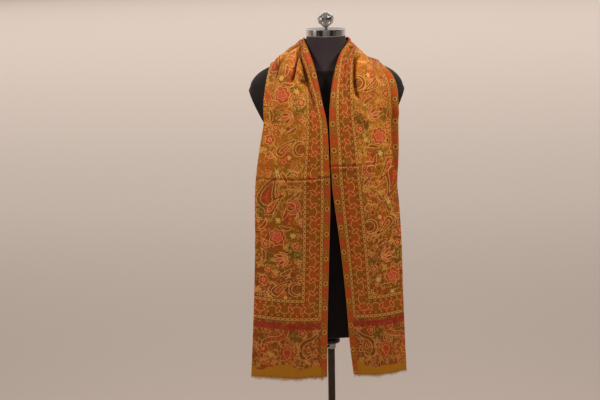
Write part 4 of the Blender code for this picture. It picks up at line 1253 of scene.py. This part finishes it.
    # Edge strip: ring flowers by turns with red-orange blocks, down to the hem.
    pair = along.every(EDGE_PITCH)
    block = (abs(pair) - 2.0).rise(-0.1, 0.1)
    off = side - EDGE_MIDDLE
    lean = off - pair * 0.28
    above, below, low = pair - 0.85, pair + 0.95, off + 0.1
    upper = (lean * lean * 1.7 + above * above * 1.1).power(0.5) + ragged * 0.6
    lower = (low * low * 1.5 + below * below * 1.3).power(0.5) + ragged * 0.6
    half = EDGE_PITCH / 2.0
    speck = (abs(pair - half) + abs(off)).within(0.25, 0.06) + (abs(pair + half) + abs(off)).within(0.25, 0.06)
    edge = r.layered(r.mix(0.35, OCHRE, RUST), (block * 0.8, r.mix(0.3, RED_ORANGE, ORANGE)),
                     ((upper - 0.62).line(0.11, 0.05) * 0.8, TAN), (upper.within(0.22, 0.06) * 0.8, RUST),
                     ((lower - 0.58).line(0.11, 0.05) * 0.75, CREAM), (lower.within(0.24, 0.06) * 0.8, DARK_OLIVE),
                     (speck * 0.5, TAN))
    in_edge = side.within(EDGE_WIDTH, 0.05)
    # The hem's plain strip.
    plain = (y + wander * 0.8 + (drift - 0.5) * 9.0).within(HEM_STRIP, 0.3) * (1.0 - in_edge * 0.8)
    colour = r.layered(colour, (in_edge, edge), (side.within(0.12, 0.04) * 0.8, TAN), (plain * 0.9, MUSTARD))

    # Guard stripes: links by turns with dark beads.
    past_edge = 1.0 - in_edge
    bead = abs(run.every(BEAD_PITCH))
    for middle in (STRIPE_OUTER, STRIPE_INNER):
        off = abs(out - middle)
        link = (off * 0.9 + bead * 0.75 - 0.37).line(0.085, 0.05)
        stripe = r.layered(r.mix(0.3, TAN, OCHRE), (link * 0.95, CREAM),
                           ((off + bead).within(0.27, 0.06) * 0.8, DARK_OLIVE))
        colour = r.layered(colour, ((off - 0.42).line(0.07, 0.04) * 0.6 * past_edge, BROWN),
                           (off.within(0.35, 0.04) * 0.9 * past_edge, stripe))

    # Painted shade: the bottoms of the creases darkened in the colour, where the cloth folds in on itself.
    colour = r.mix(r.number("crease_depth").rise(0.08, 0.9) * 0.72, colour, PAINTED_CREASE_SHADE)

    # Weave: fine twill ribs and slubs.
    twill = ((x + along * 0.9) * (FULL_TURN / TWILL_PITCH)).sine()
    slub = r.noise(r.joined(x, along * 9.0), 1.6, 2.0, 0.6)
    faded = r.noise(flat, 0.5, 2.0)
    colour = r.layered(colour, ((slub - 0.35) * 0.3, BROWN), ((faded - 0.4) * 0.2, OCHRE))
    normal = r.bump(twill * 0.5 + slub * 0.8 + fine * 0.5, 0.18, 0.0006)
    return r.finish(base=colour, roughness=0.62 + (slub - 0.5) * 0.2, normal=normal, specular=0.18,
                    sheen=0.05, sheen_rough=0.4, sheen_tint=(1.0, 0.75, 0.4))


def yarn_material():
    r = Recipe("frayed_yarn")
    tone = r.noise(r.spot(), 320.0, 2.0)
    colour = r.mix(tone.rise(0.35, 0.65), shown(186, 128, 48), shown(224, 172, 88))
    return r.finish(base=colour, roughness=0.8, specular=0.2)


def jersey_material(name, dark, light):
    r = Recipe(name)
    spot = r.spot()
    weave = r.noise(spot, 1400.0, 1.0)
    lint = r.noise(spot, 60.0, 4.0, 0.6)
    wide = r.noise(spot, 7.0, 2.0)
    colour = r.mix(weave.rise(0.3, 0.7) * 0.5 + wide.rise(0.35, 0.65) * 0.25, dark, light)
    colour = r.mix(lint.rise(0.68, 0.8) * 0.1, colour, shown(120, 110, 104))
    return r.finish(base=colour, roughness=0.78 + weave * 0.12, normal=r.bump(weave + lint * 0.5, 0.25, 0.0005),
                    specular=0.25, sheen=0.12, sheen_rough=0.4, sheen_tint=(0.9, 0.85, 0.85))


def metal_material(name, tint, rough, brushed, stretch=(1.0, 1.0, 0.02)):
    r = Recipe(name)
    spot = r.spot()
    grain = r.noise(r.vector("MULTIPLY", spot, stretch), 900.0, 3.0, 0.6)
    smudge = r.noise(spot, 38.0, 3.0, 0.55)
    colour = r.mix(smudge.rise(0.4, 0.7) * 0.5, tint, tuple(v * 0.82 for v in tint))
    roughness = rough + grain * brushed + smudge.rise(0.45, 0.75) * rough * 0.5
    return r.finish(base=colour, roughness=roughness, metallic=1.0, normal=r.bump(grain, 0.15, 0.00005))


def paint_material(name, tint, rough):
    r = Recipe(name)
    spot = r.spot()
    orange_peel = r.noise(spot, 420.0, 2.0)
    dust = r.noise(spot, 24.0, 4.0, 0.6)
    colour = r.mix(dust.rise(0.45, 0.75) * 0.3, tint, tuple(v * 1.6 + 0.01 for v in tint))
    return r.finish(base=colour, roughness=rough + dust.rise(0.4, 0.8) * 0.15,
                    normal=r.bump(orange_peel, 0.12, 0.0002), specular=0.5)


# Form and stand.

form_cloth = jersey_material("form_jersey", shown(17, 13, 14), shown(28, 22, 22))
neck_cloth = jersey_material("neck_jersey", shown(50, 41, 48), shown(66, 55, 62))
chrome = metal_material("polished_chrome", (0.8, 0.78, 0.75), 0.07, 0.02)
pole_steel = metal_material("drawn_steel", (0.066, 0.045, 0.032), 0.26, 0.12)
collar_steel = metal_material("cast_collar", (0.42, 0.42, 0.42), 0.34, 0.08, stretch=(1.0, 1.0, 1.0))
black_paint = paint_material("black_paint", shown(26, 26, 27), 0.42)
base_paint = paint_material("base_paint", shown(34, 34, 36), 0.45)
plate_plastic = paint_material("plate_satin", shown(30, 28, 28), 0.4)

torso_skin = lofted("torso_skin", TORSO_RINGS, 150, 144, True, form_cloth)
cut_arm(torso_skin, -1.0)
cut_arm(torso_skin, 1.0)
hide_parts("torso")
neck_skin = lofted("neck_skin", NECK_RINGS, 44, 96, False, neck_cloth)
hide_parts("neck")

for name, finish in (("neck_cap", chrome), ("cap_ball", chrome), ("socket", black_paint), ("pole", pole_steel),
                     ("clamp_collar", collar_steel), ("clamp_screw", black_paint), ("base", base_paint),
                     ("arm_plate_left", plate_plastic), ("arm_plate_right", plate_plastic)):
    for holder in nodes[name].material_slots:
        holder.material = finish

# The shawl.

shawl_cloth = shawl_material()
thread_material = yarn_material()
band = Band()
for name, first, last in (("fall_left", 0.0, SHOULDER_ROW_LEFT),
                          ("neck_wrap", SHOULDER_ROW_LEFT, SHOULDER_ROW_RIGHT),
                          ("fall_right", SHOULDER_ROW_RIGHT, LAST_ROW)):
    grid, across, along, crease_shade_share = band.sheet(band.rows_between(first, last))
    piece = shell("cloth_" + name, grid, across, along, crease_shade_share, shawl_cloth)
    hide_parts(name)
    long_cm = abs(along[-1, 0] - along[0, 0])
    long_cm * CM
    if name != "neck_wrap":
        ends = (grid[0], grid[2]) if name == "fall_left" else (grid[-1], grid[-3])
        side_name = name.replace("fall_", "")
        threads = frayed_ends("threads_" + side_name, *ends, 11 + len(name), side_name == "left", thread_material)
        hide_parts("fringe_" + side_name)

# Floor, light and camera.

def floor_material():
    r = Recipe("pale_floor")
    away = r.parts(r.spot())[1]
    # Painted shade: the floor is darker in front of and just behind the form, and paler from 5 m behind it.
    colour = r.mix(away.rise(0.5, 5.0), shown(205, 194, 188), shown(236, 226, 218))
    return r.finish(base=colour, roughness=0.95, specular=0.1)


mesh = bpy.data.meshes.new("floor")
mesh.from_pydata([(-30.0, -12.0, 0.0), (30.0, -12.0, 0.0), (30.0, 40.0, 0.0), (-30.0, 40.0, 0.0)], [],
                 [(0, 1, 2, 3)])
mesh.materials.append(floor_material())
floor = added("floor", mesh)


def area_light(name, place, aim, size, power, tint):
    lamp = bpy.data.lights.new(name, "AREA")
    lamp.shape = "ELLIPSE"
    lamp.size, lamp.size_y = size
    lamp.energy = power
    lamp.color = tint
    item = added(name, lamp)
    item.location = place
    item.rotation_euler = (Vector(aim) - Vector(place)).to_track_quat("-Z", "Y").to_euler()


WARM = (1.0, 0.9, 0.76)
area_light("key_right", (1.22, -0.55, 2.55), (0.0, -0.1, 1.25), (0.36, 0.3), 24.0, WARM)
area_light("key_left", (-1.12, -0.55, 2.55), (0.0, -0.1, 1.25), (0.36, 0.3), 19.0, WARM)
area_light("fill_front", (0.0, -3.4, 2.1), (0.0, 0.0, 1.35), (1.0, 1.0), 9.0, (1.0, 0.9, 0.8))
area_light("fill_left", (-2.6, -1.2, 1.9), (0.0, 0.0, 1.1), (1.4, 1.4), 4.0, (1.0, 0.96, 0.92))
area_light("floor_wash", (0.0, 23.0, 9.0), (0.0, 23.1, 0.0), (44.0, 40.0), 3500.0, (1.0, 0.91, 0.84))


STUDIO_STRENGTH = 0.34


def studio_world():
    """Pale studio: light above and behind, a bright opening straight in front and darker sides."""
    world = bpy.data.worlds.new("studio")
    world.use_nodes = True
    r = Recipe.__new__(Recipe)
    r.tree = world.node_tree
    sideways, ahead, up = r.parts(r.spot("Generated"))
    stops = ((0.0, (0.1, 0.08, 0.07)), (0.46, (0.3, 0.27, 0.25)), (0.52, (1.3, 1.18, 1.08)),
             (0.64, (0.5, 0.45, 0.41)), (1.0, (0.8, 0.73, 0.67)))
    light = r.make("ShaderNodeValToRGB", {"stops": stops}, {0: up * 0.5 + 0.5}, "Color")
    opening = abs(sideways).within(0.22, 0.07) * 1.2 + 0.14
    level = 1.0 - ahead.within(0.17, 0.1) * (1.0 - up.rise(0.3, 0.7))
    back = r.tree.nodes["Background"]
    r.feed(back.inputs["Color"], light)
    r.feed(back.inputs["Strength"], (level + (1.0 - level) * opening) * STUDIO_STRENGTH)
    bpy.context.scene.world = world


studio_world()
bpy.context.scene.view_settings.view_transform = "Standard"

CAMERA_PLACE = (-0.072, -2.95, NECK_TOP + 0.223)
CAMERA_DOWN = math.radians(90.0 - 12.29)
CAMERA_ROLL = -0.018
lens = bpy.data.cameras.new("camera")
lens.sensor_width = 36.0
lens.lens = 70.2
camera = added("camera", lens)
camera.matrix_world = (Matrix.Translation(CAMERA_PLACE) @ Matrix.Rotation(CAMERA_DOWN, 4, "X")
                       @ Matrix.Rotation(CAMERA_ROLL, 4, "Z"))
bpy.context.scene.camera = camera
